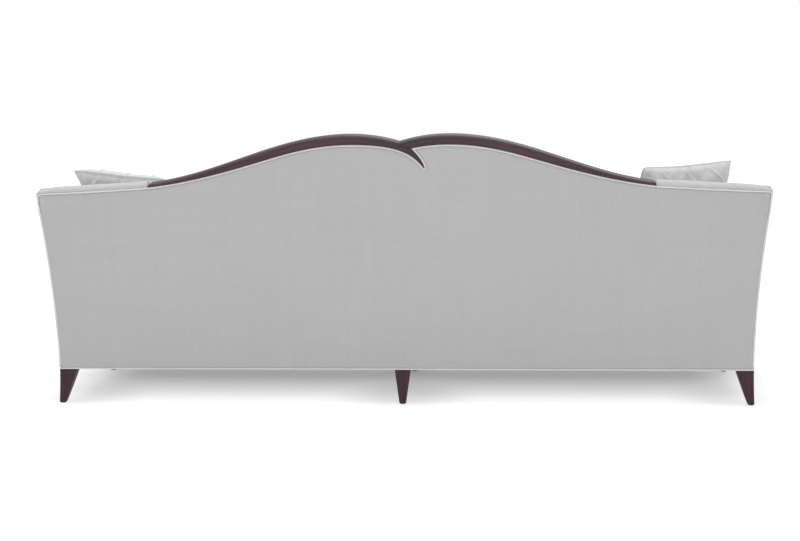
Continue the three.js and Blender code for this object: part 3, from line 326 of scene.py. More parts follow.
class Finish:
    """A material, built node by node."""

    def __init__(self, name, kind=bpy.data.materials):
        self.material = kind.new(name)
        self.material.use_nodes = True
        self.tree = self.material.node_tree
        self.tree.nodes.clear()

    def node(self, kind, settings=None, sockets=None, output=0):
        node = self.tree.nodes.new("ShaderNode" + kind)
        for key, value in (settings or {}).items():
            setattr(node, key, value)
        for key, value in (sockets or {}).items():
            if isinstance(value, Field):
                self.tree.links.new(value.socket, node.inputs[key])
            else:
                node.inputs[key].default_value = value
        return Field(self, node.outputs[output]) if node.outputs else None

    def axes(self, vector):
        return [self.node("SeparateXYZ", None, {0: vector}, i) for i in range(3)]

    def place(self):
        return self.axes(self.node("TexCoord", output=3))

    def kept(self, name):
        """The three numbers that the mesh keeps under a name."""
        return self.axes(self.node("Attribute", {"attribute_name": name}, output=1))

    def noise(self, x, y, z, scale=1.0, detail=3.0, roughness=0.5):
        vector = self.node("CombineXYZ", None, {0: x, 1: y, 2: z})
        sockets = {"Vector": vector, "Scale": scale, "Detail": detail, "Roughness": roughness}
        return self.node("TexNoise", None, sockets)

    def blend(self, dark, light, share):
        """A mix of two colours, each plain or itself a blend."""
        dark, light = (c if isinstance(c, Field) else (*c, 1.0) for c in (dark, light))
        return self.node("Mix", {"data_type": "RGBA"}, {0: share, 6: dark, 7: light}, 2)

    def bump(self, height, distance, strength=1.0):
        return self.node("Bump", None, {"Strength": strength, "Distance": distance, "Height": height})

    def surface(self, **sockets):
        named = {key.replace("_", " ").title(): value for key, value in sockets.items()}
        if "Gloss" in named:
            named["Specular IOR Level"] = named.pop("Gloss")
        shader = self.node("BsdfPrincipled", None, named)
        self.node("OutputMaterial", None, {"Surface": shader})
        return self.material


TURN = 2 * math.pi
DIP_TONE = (0.034, 0.027, 0.029)
# The colour of the painted shadow along the pillows' seams.
SEAM_PAINTED_SHADOW = (0.44, 0.44, 0.445)


def cloth_plane(finish):
    """Two coordinates that lie in the cloth, picked by the way that the face looks."""
    x, y, z = finish.place()
    normal = finish.axes(finish.node("NewGeometry", output=1))
    sideways = abs(normal[0]).over(0.7)
    level = abs(normal[2]).over(0.7)
    across = x + (y - x) * sideways
    along = z + (y - z) * level
    return across, along


def woven(name, dark, light, thread=0.0011, relief=0.0005, sheen=0.2, rough=0.92):
    """A plain-woven cloth with uneven yarns."""
    finish = Finish(name)
    across, along = cloth_plane(finish)
    weave = (across * (TURN / thread)).sine() * (along * (TURN / thread)).sine()
    weft = finish.noise(across * 22, along * 900, 0.0)
    warp = finish.noise(across * 900, along * 22, 4.0)
    bars = finish.noise(across * 2.2, along * 40, 8.0, detail=4)
    stripes = finish.noise(across * 40, along * 2.2, 12.0, detail=4)
    clouds = finish.noise(across * 3, along * 3, 16.0)
    yarns = (weft + warp) * 0.5
    tone = yarns * 0.45 + (bars + stripes) * 0.2 + clouds * 0.15 + weave * 0.06
    height = weave * 0.5 + yarns * 1.3 + (bars + stripes) * 0.4
    return finish.surface(
        base_color=finish.blend(dark, light, tone.between(0.2, 0.8)),
        roughness=yarns * 0.12 + (rough - 0.06),
        normal=finish.bump(height, relief),
        sheen_weight=sheen,
        sheen_roughness=0.5,
        gloss=0.25,
    )


def satin(name, dark, light):
    """The pillows' cover: a finer, slightly lustrous cloth."""
    finish = Finish(name)
    across, along = cloth_plane(finish)
    threads = finish.noise(across * 1500, along * 60, 0.0)
    crush = finish.noise(across * 34, along * 34, 3.0, detail=5, roughness=0.6)
    tone = threads * 0.5 + crush * 0.5
    # A thin darker line along the seam round the pillow's edge: painted shadow, for the shade in the crease
    # of the seam.
    a, b, _ = finish.kept("cover")
    from_seam = 1 - abs(a).larger(abs(b))
    seam_shadow = 1 - from_seam.between(0.004, 0.02)
    cloth = finish.blend(dark, light, tone.between(0.25, 0.75))
    return finish.surface(
        base_color=finish.blend(cloth, SEAM_PAINTED_SHADOW, seam_shadow),
        roughness=crush * 0.25 + 0.42,
        normal=finish.bump(threads * 0.3 + crush * 1.4, 0.0006),
        sheen_weight=0.25,
        sheen_roughness=0.4,
        gloss=0.4,
    )


def lacquered_wood(name, along_grain, dark, light):
    """Espresso-stained wood. The function gives the grain's coordinates, the first along it.

    The colour is a little darker and greyer round the carved dip.
    """
    finish = Finish(name)
    run, side, depth = along_grain(finish)
    x, _, z = finish.place()
    # Darker and greyer round the carved dip, only high on the back.
    carved = (1 - abs(x + 0.05).between(0.03, 0.2)) * z.over(0.7)
    figure = finish.noise(run * 3, side * 90, depth * 90, detail=5, roughness=0.6)
    pores = finish.noise(run * 60, side * 1400, depth * 1400, detail=2)
    streak = finish.noise(run * 9, side * 420, depth * 420, detail=3)
    tone = figure * 0.55 + streak * 0.3 + pores * 0.15
    wear = pores.between(0.55, 0.75)
    stain = finish.blend(dark, light, tone.between(0.3, 0.7))
    return finish.surface(
        base_color=finish.blend(stain, DIP_TONE, carved * 0.45),
        roughness=wear * 0.12 + streak * 0.1 + 0.42,
        normal=finish.bump(pores * 0.6 + streak * 0.5, 0.0002),
        gloss=0.28,
    )


def raw_wood(name, along_grain):
    finish = Finish(name)
    run, side, depth = along_grain(finish)
    figure = finish.noise(run * 4, side * 40, depth * 70, detail=5, roughness=0.6)
    pores = finish.noise(run * 60, side * 900, depth * 900, detail=2)
    tone = figure * 0.75 + pores * 0.25
    return finish.surface(
        base_color=finish.blend((0.42, 0.27, 0.14), (0.66, 0.48, 0.29), tone.between(0.3, 0.7)),
        roughness=pores * 0.2 + 0.6,
        normal=finish.bump(pores, 0.0003),
    )


def wire(name):
    finish = Finish(name)
    x, y, z = finish.place()
    film = finish.noise(x * 60, y * 60, z * 60, detail=4)
    return finish.surface(
        base_color=finish.blend((0.2, 0.2, 0.21), (0.42, 0.42, 0.43), film),
        roughness=film * 0.25 + 0.25,
        normal=finish.bump(film, 0.0001),
        metallic=1.0,
    )


def curve_grain(finish):
    """The rail's grain follows its curve, kept with the mesh."""
    return finish.kept("grain")


def grain_along(axis):
    """Straight grain: the coordinates along an axis and across it."""
    start = "xyz".index(axis)
    return lambda finish: (finish.place() * 2)[start : start + 3]


LINEN = woven("linen", (0.515,) * 3, (0.59,) * 3)
# The rolls and arm tops take a lighter copy of the linen: painted light, for the light that falls on their
# tops from above.
PAINTED_LIGHT_ROLL_LINEN = woven("roll_linen_painted_light", (0.575,) * 3, (0.66,) * 3)
# The piping takes a much lighter copy of the linen: painted light, for the light that its round cord catches.
PAINTED_LIGHT_PIPING = woven("piping_linen_painted_light", (0.74, 0.73, 0.735), (0.85, 0.84, 0.845), 0.0009, 0.0004)
PILLOW_COVER = satin("pillow_satin", (0.56, 0.56, 0.565), (0.69, 0.69, 0.695))
RAIL_WOOD = lacquered_wood("rail_espresso", curve_grain, (0.034, 0.0155, 0.023), (0.085, 0.0465, 0.062))
# The legs' lacquer is a darker copy of the rail's: painted shade, for the shadow under the seat where the
# legs stand.
SHADED_LEG_WOOD = lacquered_wood("leg_espresso_painted_shade", grain_along("z"), (0.026, 0.0094, 0.0144), (0.065, 0.028, 0.039))
LONG_BOARD = raw_wood("frame_hardwood_long", grain_along("x"))
POST_BOARD = raw_wood("frame_hardwood_upright", grain_along("z"))
DEEP_BOARD = raw_wood("frame_hardwood_deep", grain_along("y"))
SPRING_WIRE = wire("spring_wire")
JUTE = woven("jute", (0.30, 0.21, 0.11), (0.55, 0.42, 0.25), 0.003, 0.001, 0.1, 0.95)
CAMBRIC = woven("cambric", (0.012, 0.012, 0.013), (0.03, 0.03, 0.032), 0.0012, 0.0003, 0.1, 0.95)


def link(name, points, faces, material, smooth=True):
    """Makes an object of points and faces, in the row's frame."""
    mesh = bpy.data.meshes.new(name)
    mesh.from_pydata([tuple(p) for p in points], [], faces)
    mesh.validate()
    mesh.materials.append(material)
    piece = bpy.data.objects.new(name, mesh)
    bpy.context.scene.collection.objects.link(piece)
    if smooth:
        mesh.shade_smooth()
    return piece


def dress(piece, slot, *nodes):
    """Rides the piece on the sofa and lets it stand for CAD nodes."""
    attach(piece, "root")
    if nodes:
        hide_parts(*nodes)
    return piece


def face_out(points, faces):
    """Turns a closed shell's faces outwards."""
    volume = 0.0
    for face in faces:
        for i in range(1, len(face) - 1):
            a, b, c = (points[face[k]] for k in (0, i, i + 1))
            volume += a.dot(b.cross(c))
    return [face[::-1] for face in faces] if volume < 0 else faces


def ring_faces(ring_count, size):
    faces = []
    for i in range(ring_count - 1):
        for k in range(size):
            a = i * size + k
            b = i * size + (k + 1) % size
            faces.append((a, b, b + size, a + size))
    return faces


def grid_quads(columns, rows):
    """The cells of a grid, each as the places of its corners."""
    cells = [(i, j) for i in range(columns - 1) for j in range(rows - 1)]
    return [[(i, j), (i + 1, j), (i + 1, j + 1), (i, j + 1)] for i, j in cells]


def grid_rim(columns, rows):
    """The places round the edge of a grid, in order."""
    half = [(i, 0) for i in range(columns - 1)] + [(columns - 1, j) for j in range(rows - 1)]
    return half + [(columns - 1 - i, rows - 1 - j) for i, j in half]


def lofted(name, rings, material):
    """A closed skin through rings of points, capped at both ends."""
    size = len(rings[0])
    points = [p for ring in rings for p in ring]
    faces = ring_faces(len(rings), size)
    last = (len(rings) - 1) * size
    faces.append(tuple(range(size))[::-1])
    faces.append(tuple(range(last, last + size)))
    return link(name, points, face_out(points, faces), material)


def tube(name, path, radius, material, sides=10, closed=False):
    """A round cord along points in space. The radius is one number, or one for each point."""
    count = len(path)
    radii = radius if isinstance(radius, list) else [radius] * count
    rings = []
    across = None
    for i, point in enumerate(path):
        before = path[(i - 1) % count] if closed else path[max(i - 1, 0)]
        after = path[(i + 1) % count] if closed else path[min(i + 1, count - 1)]
        along = (after - before).normalized()
        if across is None:
            across = along.orthogonal().normalized()
        across = (across - along * across.dot(along)).normalized()
        other = along.cross(across)
        ring = []
        for k in range(sides):
            turn = TURN * k / sides
            ring.append(point + (across * math.cos(turn) + other * math.sin(turn)) * radii[i])
        rings.append(ring)
    if not closed:
        return lofted(name, rings, material)
    points = [p for ring in rings for p in ring]
    faces = ring_faces(count, sides)
    for k, shift in enumerate(closing_shift(rings)):
        a = (count - 1) * sides + k
        b = (count - 1) * sides + (k + 1) % sides
        faces.append((a, b, (shift + 1) % sides, shift))
    return link(name, points, face_out(points, faces), material)


def closing_shift(rings):
    """Which point of the first ring each point of the last ring meets."""
    sides = len(rings[0])
    nearest = min(range(sides), key=lambda k: (rings[0][k] - rings[-1][0]).length)
    return [(nearest + k) % sides for k in range(sides)]


# Shape of the body, by the formulas of the CAD model


def half_width_at(height):
    slope = 2 * FLARE_AT_KNEE / FLARE_KNEE_HEIGHT
    h = max(height, 0.0)
    if h <= FLARE_KNEE_HEIGHT:
        return BOTTOM_HALF_WIDTH + FLARE_AT_KNEE * (h / FLARE_KNEE_HEIGHT) ** 2
    over = min(h, FLARE_TOP_HEIGHT) - FLARE_KNEE_HEIGHT
    easing = slope * over**2 / (2 * (FLARE_TOP_HEIGHT - FLARE_KNEE_HEIGHT))
    return BOTTOM_HALF_WIDTH + FLARE_AT_KNEE + slope * over - easing


RAKE_SIN = math.sin(BACK_RAKE)
RAKE_COS = math.cos(BACK_RAKE)
BACK_LINE = OVERALL_DEPTH / 2 - (HUMP_PEAK_HEIGHT - RAIL_BEVEL) * RAKE_SIN - RAIL_PROUD * RAKE_COS
FRONT_LINE = -OVERALL_DEPTH / 2
UNDERSIDE_PEAK = HUMP_PEAK_HEIGHT - RAIL_HEIGHT


def on_back(x, up, inward):
    """A point of the raked back: across, up from its bottom edge, and in from its outer face."""
    y = BACK_LINE + up * RAKE_SIN - inward * RAKE_COS
    z = BODY_BOTTOM + up * RAKE_COS + inward * RAKE_SIN
    return Vector((x, y, z))


def back_plane(z, inward):
    return BACK_LINE + ((z - BODY_BOTTOM) * RAKE_SIN - inward) / RAKE_COS


def half_width_up(up):
    return half_width_at(up * RAKE_COS)


def outer_at(z):
    return half_width_at(z - BODY_BOTTOM)


def crest_top(x):
    a = abs(x)
    if a <= HUMP_PEAK_OFFSET:
        rise = math.sqrt(HUMP_INNER_RADIUS**2 - (HUMP_PEAK_OFFSET - a) ** 2)
        return HUMP_PEAK_HEIGHT - HUMP_INNER_RADIUS + rise
    t = min((a - HUMP_PEAK_OFFSET) / (CREST_FOOT_OFFSET - HUMP_PEAK_OFFSET), 1)
    return CREST_FOOT_HEIGHT + (HUMP_PEAK_HEIGHT - CREST_FOOT_HEIGHT) * (1 + math.cos(math.pi * t)) / 2


def rail_height_at(x):
    t = clamp((abs(x) - RAIL_TAPER_START) / (RAIL_END - RAIL_TAPER_START))
    return RAIL_TIP_HEIGHT + (RAIL_HEIGHT - RAIL_TIP_HEIGHT) * (1 + math.cos(math.pi * t)) / 2


def quarter_round(x, y, radius, quarter, count):
    """Places along a quarter of a circle round x and y, the first quarter being 0."""
    turns = [math.pi / 2 * (quarter + t) for t in steps(count)]
    return [(x + radius * math.cos(turn), y + radius * math.sin(turn)) for turn in turns]


def bezier(points, t):
    """A point on the curve with these handles."""
    while len(points) > 1:
        points = [a.lerp(b, t) for a, b in zip(points, points[1:])]
    return points[0]


TAIL_TIP = Vector((-TAIL_REACH, UNDERSIDE_PEAK - TAIL_DROP))
NOTCH = Vector((-NOTCH_OFFSET, UNDERSIDE_PEAK - NOTCH_DROP))
SWEEP_HANDLES = [
    Vector((HUMP_PEAK_OFFSET, UNDERSIDE_PEAK)),
    Vector((HUMP_PEAK_OFFSET * TAIL_SHARES["outer"], UNDERSIDE_PEAK)),
    Vector((-TAIL_REACH * TAIL_SHARES["inner"], UNDERSIDE_PEAK - TAIL_DROP * TAIL_SHARES["inner_drop"])),
    TAIL_TIP,
]
CROOK_HANDLES = [
    TAIL_TIP,
    Vector((-TAIL_REACH * TAIL_SHARES["crook"], UNDERSIDE_PEAK - TAIL_DROP * TAIL_SHARES["crook_drop"])),
    NOTCH,
]
TAIL_SWEEP = [bezier(SWEEP_HANDLES, t) for t in steps(80)]
TAIL_CROOK = [bezier(CROOK_HANDLES, t) for t in steps(30)]


def height_on(curve, x):
    """The height of a curve where it passes x."""
    for a, b in zip(curve, curve[1:]):
        if min(a.x, b.x) <= x <= max(a.x, b.x):
            return lerp(a.y, b.y, (x - a.x) / (b.x - a.x))
    return curve[0].y if abs(x - curve[0].x) < abs(x - curve[-1].x) else curve[-1].y


def rail_underside(x):
    a = abs(x)
    if a >= HUMP_PEAK_OFFSET:
        return crest_top(x) - rail_height_at(x)
    if x >= 0:
        return height_on(TAIL_SWEEP, x)
    if a >= NOTCH_OFFSET:
        t = (HUMP_PEAK_OFFSET - a) / (HUMP_PEAK_OFFSET - NOTCH_OFFSET)
        return UNDERSIDE_PEAK - NOTCH_DROP * t**2
    return lerp(height_on(TAIL_SWEEP, 0), NOTCH.y, a / NOTCH_OFFSET)


# Lines of the piping, in the plane of the back

WELT_SEAT = WELT_RADIUS + CLEARANCE
SEWN_GAP = WELT_RADIUS - SEW_OVERLAP
BOTTOM_WELT_TOP = 2 * WELT_RADIUS + CLEARANCE
WELT_CORNER_X = half_width_up(CORNER_WELT_HEIGHT) - WELT_RADIUS
ROLL_WELT_START = rail_underside(RAIL_END) - WELT_SEAT


def roll_welt_line(x):
    t = clamp((abs(x) - RAIL_END) / (WELT_CORNER_X - RAIL_END))
    return lerp(CORNER_WELT_HEIGHT, ROLL_WELT_START, (1 - t) ** ROLL_WELT_POWER)


def roll_underside(x):
    return roll_welt_line(x) + WELT_SEAT


def rail_lower_path():
    outwards = [lerp(HUMP_PEAK_OFFSET, RAIL_END, t) for t in steps(40)]
    path = [Vector((x, rail_underside(x))) for x in reversed(outwards)]
    path += TAIL_SWEEP[2::2]
    path += TAIL_CROOK[2::2]
    for t in steps(10)[1:10]:
        x = -lerp(NOTCH_OFFSET, HUMP_PEAK_OFFSET, t)
        path.append(Vector((x, rail_underside(x))))
    path += [Vector((-x, rail_underside(-x))) for x in outwards]
    return path


def end_welt_path(bottom):
    top = CORNER_WELT_HEIGHT - WELT_CORNER_RADIUS
    rise = [lerp(bottom, top, t) for t in steps(24)]
    path = [Vector((half_width_up(up) - WELT_RADIUS, up)) for up in rise]
    centre = Vector((WELT_CORNER_X - WELT_CORNER_RADIUS, top))
    for t in steps(6)[1:]:
        turn = math.pi / 2 * t
        path.append(centre + Vector((math.cos(turn), math.sin(turn))) * WELT_CORNER_RADIUS)
    for t in steps(16)[1:16]:
        x = lerp(centre.x, RAIL_END, t)
        path.append(Vector((x, roll_welt_line(x))))
    return path


def crossing(a, b, c, d):
    """Where the line through a and b meets the one through c and d, unless they run nearly side by side."""
    along, other, gap = b - a, d - c, c - a
    area = along.x * other.y - along.y * other.x
    if abs(area) < 0.3 * along.length * other.length:
        return None
    return a + along * ((gap.x * other.y - gap.y * other.x) / area)


def offset_path(path, distance):
    """The path moved to its left-hand side, with round outer corners and sharp inner ones."""
    normals = []
    for a, b in zip(path, path[1:]):
        along = (b - a).normalized()
        normals.append(Vector((-along.y, along.x)))
    moved = []
    for i, point in enumerate(path):
        before = normals[max(i - 1, 0)]
        after = normals[min(i, len(normals) - 1)]
        turn = math.atan2(before.x * after.y - before.y * after.x, before.dot(after))
        is_outer = turn < -0.2
        shares = steps(math.ceil(-turn / 0.35)) if is_outer else [0.5]
        reach = distance if is_outer else distance / max(math.cos(turn / 2), 0.1)
        for share in shares:
            c, s = math.cos(turn * share), math.sin(turn * share)
            normal = Vector((before.x * c - before.y * s, before.x * s + before.y * c))
            moved.append(point + normal * reach)
    clear = gap_to(as_rows(moved), as_rows(path), False) > distance * 0.97
    kept = []
    for i, point in enumerate(moved):
        if not clear[i]:
            continue
        if len(kept) > 1 and not clear[i - 1] and i + 1 < len(moved):
            corner = crossing(kept[-2], kept[-1], point, moved[i + 1])
            if corner:
                kept.append(corner)
        kept.append(point)
    return kept


def as_rows(points):
    return np.array([tuple(p) for p in points])


def gap_to(spots, line, closed):
    """How far each spot lies from a line of points."""
    ends = np.roll(line, -1, axis=0) if closed else line[1:]
    starts = line if closed else line[:-1]
    nearest = np.full(len(spots), np.inf)
    for a, b in zip(starts, ends):
        along = b - a
        share = np.clip(((spots - a) @ along) / max(along @ along, 1e-18), 0, 1)
        gap = np.linalg.norm(spots - a - share[:, None] * along, axis=1)
        nearest = np.minimum(nearest, gap)
    return nearest


def inside(spots, ring):
    """Which spots lie inside a closed ring."""
    odd = np.zeros(len(spots), bool)
    for a, b in zip(ring, np.roll(ring, -1, axis=0)):
        crosses = (a[1] > spots[:, 1]) != (b[1] > spots[:, 1])
        rise = b[1] - a[1] if b[1] != a[1] else 1.0
        at = a[0] + (spots[:, 1] - a[1]) / rise * (b[0] - a[0])
        odd ^= crosses & (spots[:, 0] < at)
    return odd


def back_welt_path(bottom):
    left = end_welt_path(bottom)
    right = [Vector((-p.x, p.y)) for p in reversed(left)]
    return left + offset_path(rail_lower_path(), WELT_SEAT) + right


def edge_depth(distance):
    """How far the cloth has rolled in at this distance from a sewn edge."""
    return EDGE_ROUND - math.sqrt(max(0.0, EDGE_ROUND**2 - max(0.0, EDGE_ROUND - distance) ** 2))


def spots_within(ring, spacing):
    """A square grid of spots inside a ring, clear of its edge."""
    low, high = ring.min(0), ring.max(0)
    xs, ys = (np.arange(low[k] + spacing / 2, high[k], spacing) for k in (0, 1))
    spots = np.array([(x, y) for x in xs for y in ys])
    spots = spots[inside(spots, ring)]
    return spots[gap_to(spots, ring, True) > spacing * 0.45]


def stretched_panel(name, outline_at, place, thickness, spacing, lift, material, draw=lambda x, y: 1.0):
    """A tight fabric panel inside an outline, with rolled edges and a flat inner side.

    The outline is given for each distance from the panel's edge.
    The draw says how deeply each part of the edge is rolled in.
    """
    outlines = [outline_at(row) for row in EDGE_ROWS]
    flat, depths, seams = [], [], []
    for outline, row in zip(outlines, EDGE_ROWS):
        start = len(flat)
        flat += [Vector(p) for p in outline]
        depths += [edge_depth(row)] * len(outline)
        if start:
            seams += [(start + k, start + (k + 1) % len(outline)) for k in range(len(outline))]
    spots = spots_within(as_rows(outlines[-1]), spacing)
    flat += [Vector(p) for p in spots]
    depths += [0.0] * len(spots)
    rim = len(outlines[0])
    ring = [list(range(rim))]
    found, _, triangles, origins, _, _ = geometry.delaunay_2d_cdt(flat, seams, ring, 1, 1e-7)
    points = []
    for p, origin, gap in zip(found, origins, gap_to(as_rows(found), as_rows(outlines[0]), True)):
        depth = depths[origin[0]] if origin else edge_depth(gap)
        lifted = 0.0 if depth else lift(p.x, p.y)
        points.append(place(p.x, p.y, depth * draw(p.x, p.y) - lifted))
    where = {o: i for i, origin in enumerate(origins) for o in origin}
    border = [where[i] for i in range(rim)]
    inner_side = len(points)
    points += [place(found[i].x, found[i].y, thickness) for i in border]
    faces = [tuple(t) for t in triangles]
    back = geometry.delaunay_2d_cdt([found[i] for i in border], [], ring, 1, 1e-7)
    back_origin = [o[0] if o else 0 for o in back[3]]
    faces += [tuple(inner_side + back_origin[i] for i in t)[::-1] for t in back[2]]
    for k in range(rim):
        a, b = k, (k + 1) % rim
        faces.append((border[a], inner_side + a, inner_side + b, border[b]))
    return link(name, points, face_out(points, faces), material)


def with_level_foot(path, bottom, count):
    """Brings both ends of a path down to a level and joins them along it."""
    path[0].y = path[-1].y = bottom
    return path + [Vector((lerp(path[-1].x, path[0].x, t), bottom)) for t in steps(count)[1:count]]


def outside_back():
    """The outer back: linen stretched from the bottom piping to the rail, cut round the tail."""

    def outline_at(row):
        bottom = BOTTOM_WELT_TOP + row
        return with_level_foot(offset_path(back_welt_path(bottom), SEWN_GAP + row), bottom, 150)

    def lift(x, up):
        centre = 1 - (x / BOTTOM_HALF_WIDTH) ** 6
        crown = BACK_CROWN * max(0.0, centre) * math.sin(math.pi * clamp(up / BACK_CROWN_HEIGHT))
        waves = 0.0005 * ripple(1, x * 2.2, up * 4) + 0.00025 * ripple(2, x * 9, up * 7)
        return crown + waves

    def draw(x, up):
        return lerp(*BACK_DRAW, clamp((up - BACK_DRAW_START) / BACK_DRAW_SPAN))

    cloth = (PANEL_THICKNESS, BACK_CELL, lift, LINEN, draw)
    piece = stretched_panel("outside_back", outline_at, on_back, *cloth)
    dress(piece, "linen", "outside_back_panel")


def back_piping():
    """The piping round the back. Its two runs are squeezed together where the tail leaves the rail."""
    flat = back_welt_path(BOTTOM_WELT_TOP)
    path = [on_back(p.x, p.y, WELT_RADIUS - WELT_STAND) for p in flat]
    dress(tube("back_piping", path, WELT_RADIUS, PAINTED_LIGHT_PIPING), "piping", "outside_back_welt")
    corner = min(flat, key=lambda p: (p - NOTCH).length)
    shares = steps(10)
    wedge = [on_back(*corner.lerp(NOTCH, NOTCH_WELT_REACH * t), WELT_RADIUS - WELT_STAND) for t in shares]
    radii = [WELT_RADIUS * (1 - NOTCH_WELT_TAPER * t) for t in shares]
    dress(tube("notch_piping", wedge, radii, PAINTED_LIGHT_PIPING), "piping", "outside_back_welt")


# Show wood


def rail_section(low, top, rear, front, lower_rear, step=None, bevels=(RAIL_REAR_BEVEL, RAIL_BEVEL)):
    """The rail's outline at one station, as heights and depths: eased lower edges and bevelled upper ones.

    A step cuts its lower rear corner away, where the other rail's tail laps over it.
    """
    height = top - low
    rear_bevel, bevel = (min(b, height / 3) for b in bevels)
    ease = min(RAIL_EASING, height / 6)
    step_height, step_depth = step or (low, rear)
    return [
        (low, step_depth + ease),
        (low + ease, step_depth),
        (step_height, step_depth),
        (step_height, rear + lower_rear),
        (step_height + lower_rear, rear),
        (top - rear_bevel - ease, rear),
        (top - rear_bevel + ease * 0.4, rear + ease * 0.4),
        (top - ease * 0.4, rear + rear_bevel - ease * 0.4),
        (top, rear + rear_bevel + ease),
        (top, front - bevel - ease),
        (top - ease * 0.4, front - bevel + ease * 0.4),
        (top - bevel + ease * 0.4, front - ease * 0.4),
        (top - bevel - ease, front),
        (low + ease, front),
        (low, front - ease),
    ]


def wooden_rail(name, sections, sign, node):
    """Skins the sections of a rail, each with its distance from the middle, and keeps the grain's run."""
    rings, grain = [], []
    run = 0.0
    previous = None
    for a, points in sections:
        middle = Vector((a, (points[0][0] + points[7][0]) / 2))
        if previous is not None:
            run += (middle - previous).length
        previous = middle
        low, top = points[0][0], points[7][0]
        lean = RAIL_END_RAKE * max(0.0, (a - RAIL_TAPER_START) / (RAIL_END - RAIL_TAPER_START)) ** 8
        ring = []
        for up, inward in points:
            share = (up - low) / max(top - low, 1e-6)
            ring.append(on_back(sign * (a - lean * share), up, inward))
            grain.append((run, up - middle.y, inward))
        rings.append(ring)
    piece = lofted(name, rings, RAIL_WOOD)
    attribute = piece.data.attributes.new("grain", "FLOAT_VECTOR", "POINT")
    attribute.data.foreach_set("vector", [c for g in grain for c in g])
    piece.data.set_sharp_from_angle(angle=RAIL_SHARP_TURN)
    return dress(piece, "show_wood", node)


RAIL_FRONT = RAIL_DEPTH - RAIL_PROUD
TAIL_BACK = TAIL_THICKNESS - RAIL_PROUD
LAP_TOP = crest_top(0) - RAIL_REAR_BEVEL - 3 * RAIL_EASING


def end_sections(sections, inset):
    """Rounds the edge of a rail's last section."""
    a, points = sections[-1]
    low = min(p[0] for p in points)
    top = max(p[0] for p in points)
    rear = min(p[1] for p in points)
    front = max(p[1] for p in points)
    middle = Vector(((low + top) / 2, (rear + front) / 2))
    half = Vector(((top - low) / 2, (front - rear) / 2))
    pulled = []
    for up, inward in points:
        shorter = middle.x + (up - middle.x) * (1 - inset / half.x)
        narrower = middle.y + (inward - middle.y) * (1 - inset / half.y)
        pulled.append((shorter, narrower))
    sections[-1] = (a - inset, points)
    sections.append((a, pulled))


def rail_stations():
    outer = [lerp(HUMP_PEAK_OFFSET, RAIL_END, t) for t in steps(90)[1:]]
    return [HUMP_PEAK_OFFSET * t for t in steps(28)] + outer


def left_rail():
    """The left rail, with the tail that sweeps out of it below the dip."""
    sections = []
    for t in steps(40):
        x = lerp(-TAIL_REACH, 0, t)
        low = height_on(TAIL_SWEEP, x)
        top = height_on(TAIL_CROOK, x) if x <= -NOTCH_OFFSET else lerp(NOTCH.y, LAP_TOP, 1 + x / NOTCH_OFFSET)
        top = max(top, low + TAIL_TIP_HEIGHT)
        ease = min(RAIL_EASING, (top - low) / 4)
        points = rail_section(low, top, -RAIL_PROUD, TAIL_BACK, ease, bevels=(TAIL_BEVEL, TAIL_BEVEL))
        sections.append((x, points))
    for a in rail_stations():
        low, top = rail_underside(a), crest_top(a)
        sections.append((a, rail_section(low, top, -RAIL_PROUD, RAIL_FRONT, RAIL_EASING)))
    end_sections(sections, RAIL_EASING)
    wooden_rail("left_show_rail", sections, 1, "left_top_rail")


def right_rail():
    """The right rail, halved at the dip to take the tail's root."""
    sections = []
    stations = sorted({*rail_stations(), NOTCH_OFFSET, *(NOTCH_OFFSET * t for t in steps(6))})
    for a in stations:
        low, top = rail_underside(-a), crest_top(a)
        step = None
        if a < NOTCH_OFFSET:
            lap = lerp(LAP_TOP, NOTCH.y, a / NOTCH_OFFSET) + CLEARANCE
            step = (max(lap, low + RAIL_EASING), TAIL_BACK + CLEARANCE)
        points = rail_section(low, top, -RAIL_PROUD, RAIL_FRONT, RAIL_EASING, step)
        sections.append((a + CLEARANCE, points))
    end_sections(sections, RAIL_EASING)
    wooden_rail("right_show_rail", sections, -1, "right_top_rail")


def leg(name, node, sign, is_middle, outer_y, facing):
    """A tapered leg with eased edges and a rounded foot."""
    top_x = MIDDLE_LEG_TOP if is_middle else LEG_TOP
    height = BODY_BOTTOM - CLEARANCE
    levels = [FOOT_ROUND * t**2 for t in steps(6)] + [lerp(FOOT_ROUND, height, t) for t in steps(18)[1:]]
    rings = []
    for z in levels:
        t = z / height
        width, depth = lerp(LEG_BOTTOM, top_x, t), lerp(LEG_BOTTOM, LEG_TOP, t)
        kick = LEG_KICK * (1 - t) ** 2
        end = 0 if is_middle else BOTTOM_HALF_WIDTH + kick
        x1 = width / 2 if is_middle else end
        x0 = x1 - width
        y_outer = outer_y + facing * kick
        y0, y1 = sorted((y_outer, y_outer - facing * depth))
        lift = clamp(z / FOOT_ROUND)
        inset = FOOT_ROUND * (1 - math.sqrt(1 - (1 - lift) ** 2))
        edge = LEG_EDGE + inset
        corners = [(x0, y0, 2), (x1, y0, 3), (x1, y1, 0), (x0, y1, 1)]
        ring = []
        for cx, cy, quarter in corners:
            sx = 1 if cx == x0 else -1
            sy = 1 if cy == y0 else -1
            centre = Vector((cx + sx * (inset + edge), cy + sy * (inset + edge)))
            ring += [Vector((sign * x, y, z)) for x, y in quarter_round(*centre, edge, quarter, 4)]
        rings.append(ring)
    dress(lofted(name, rings, SHADED_LEG_WOOD), "show_wood", node)


def legs():
    rows = ("rear", BACK_LINE - LEG_SETBACK, 1), ("front", FRONT_LINE + LEG_SETBACK, -1)
    for end, outer_y, facing in rows:
        for place, sign in (("left", 1), ("right", -1), ("middle", 1)):
            leg(f"{place}_{end}_foot", f"{place}_{end}_leg", sign, place == "middle", outer_y, facing)


# Covers, pads and rolls

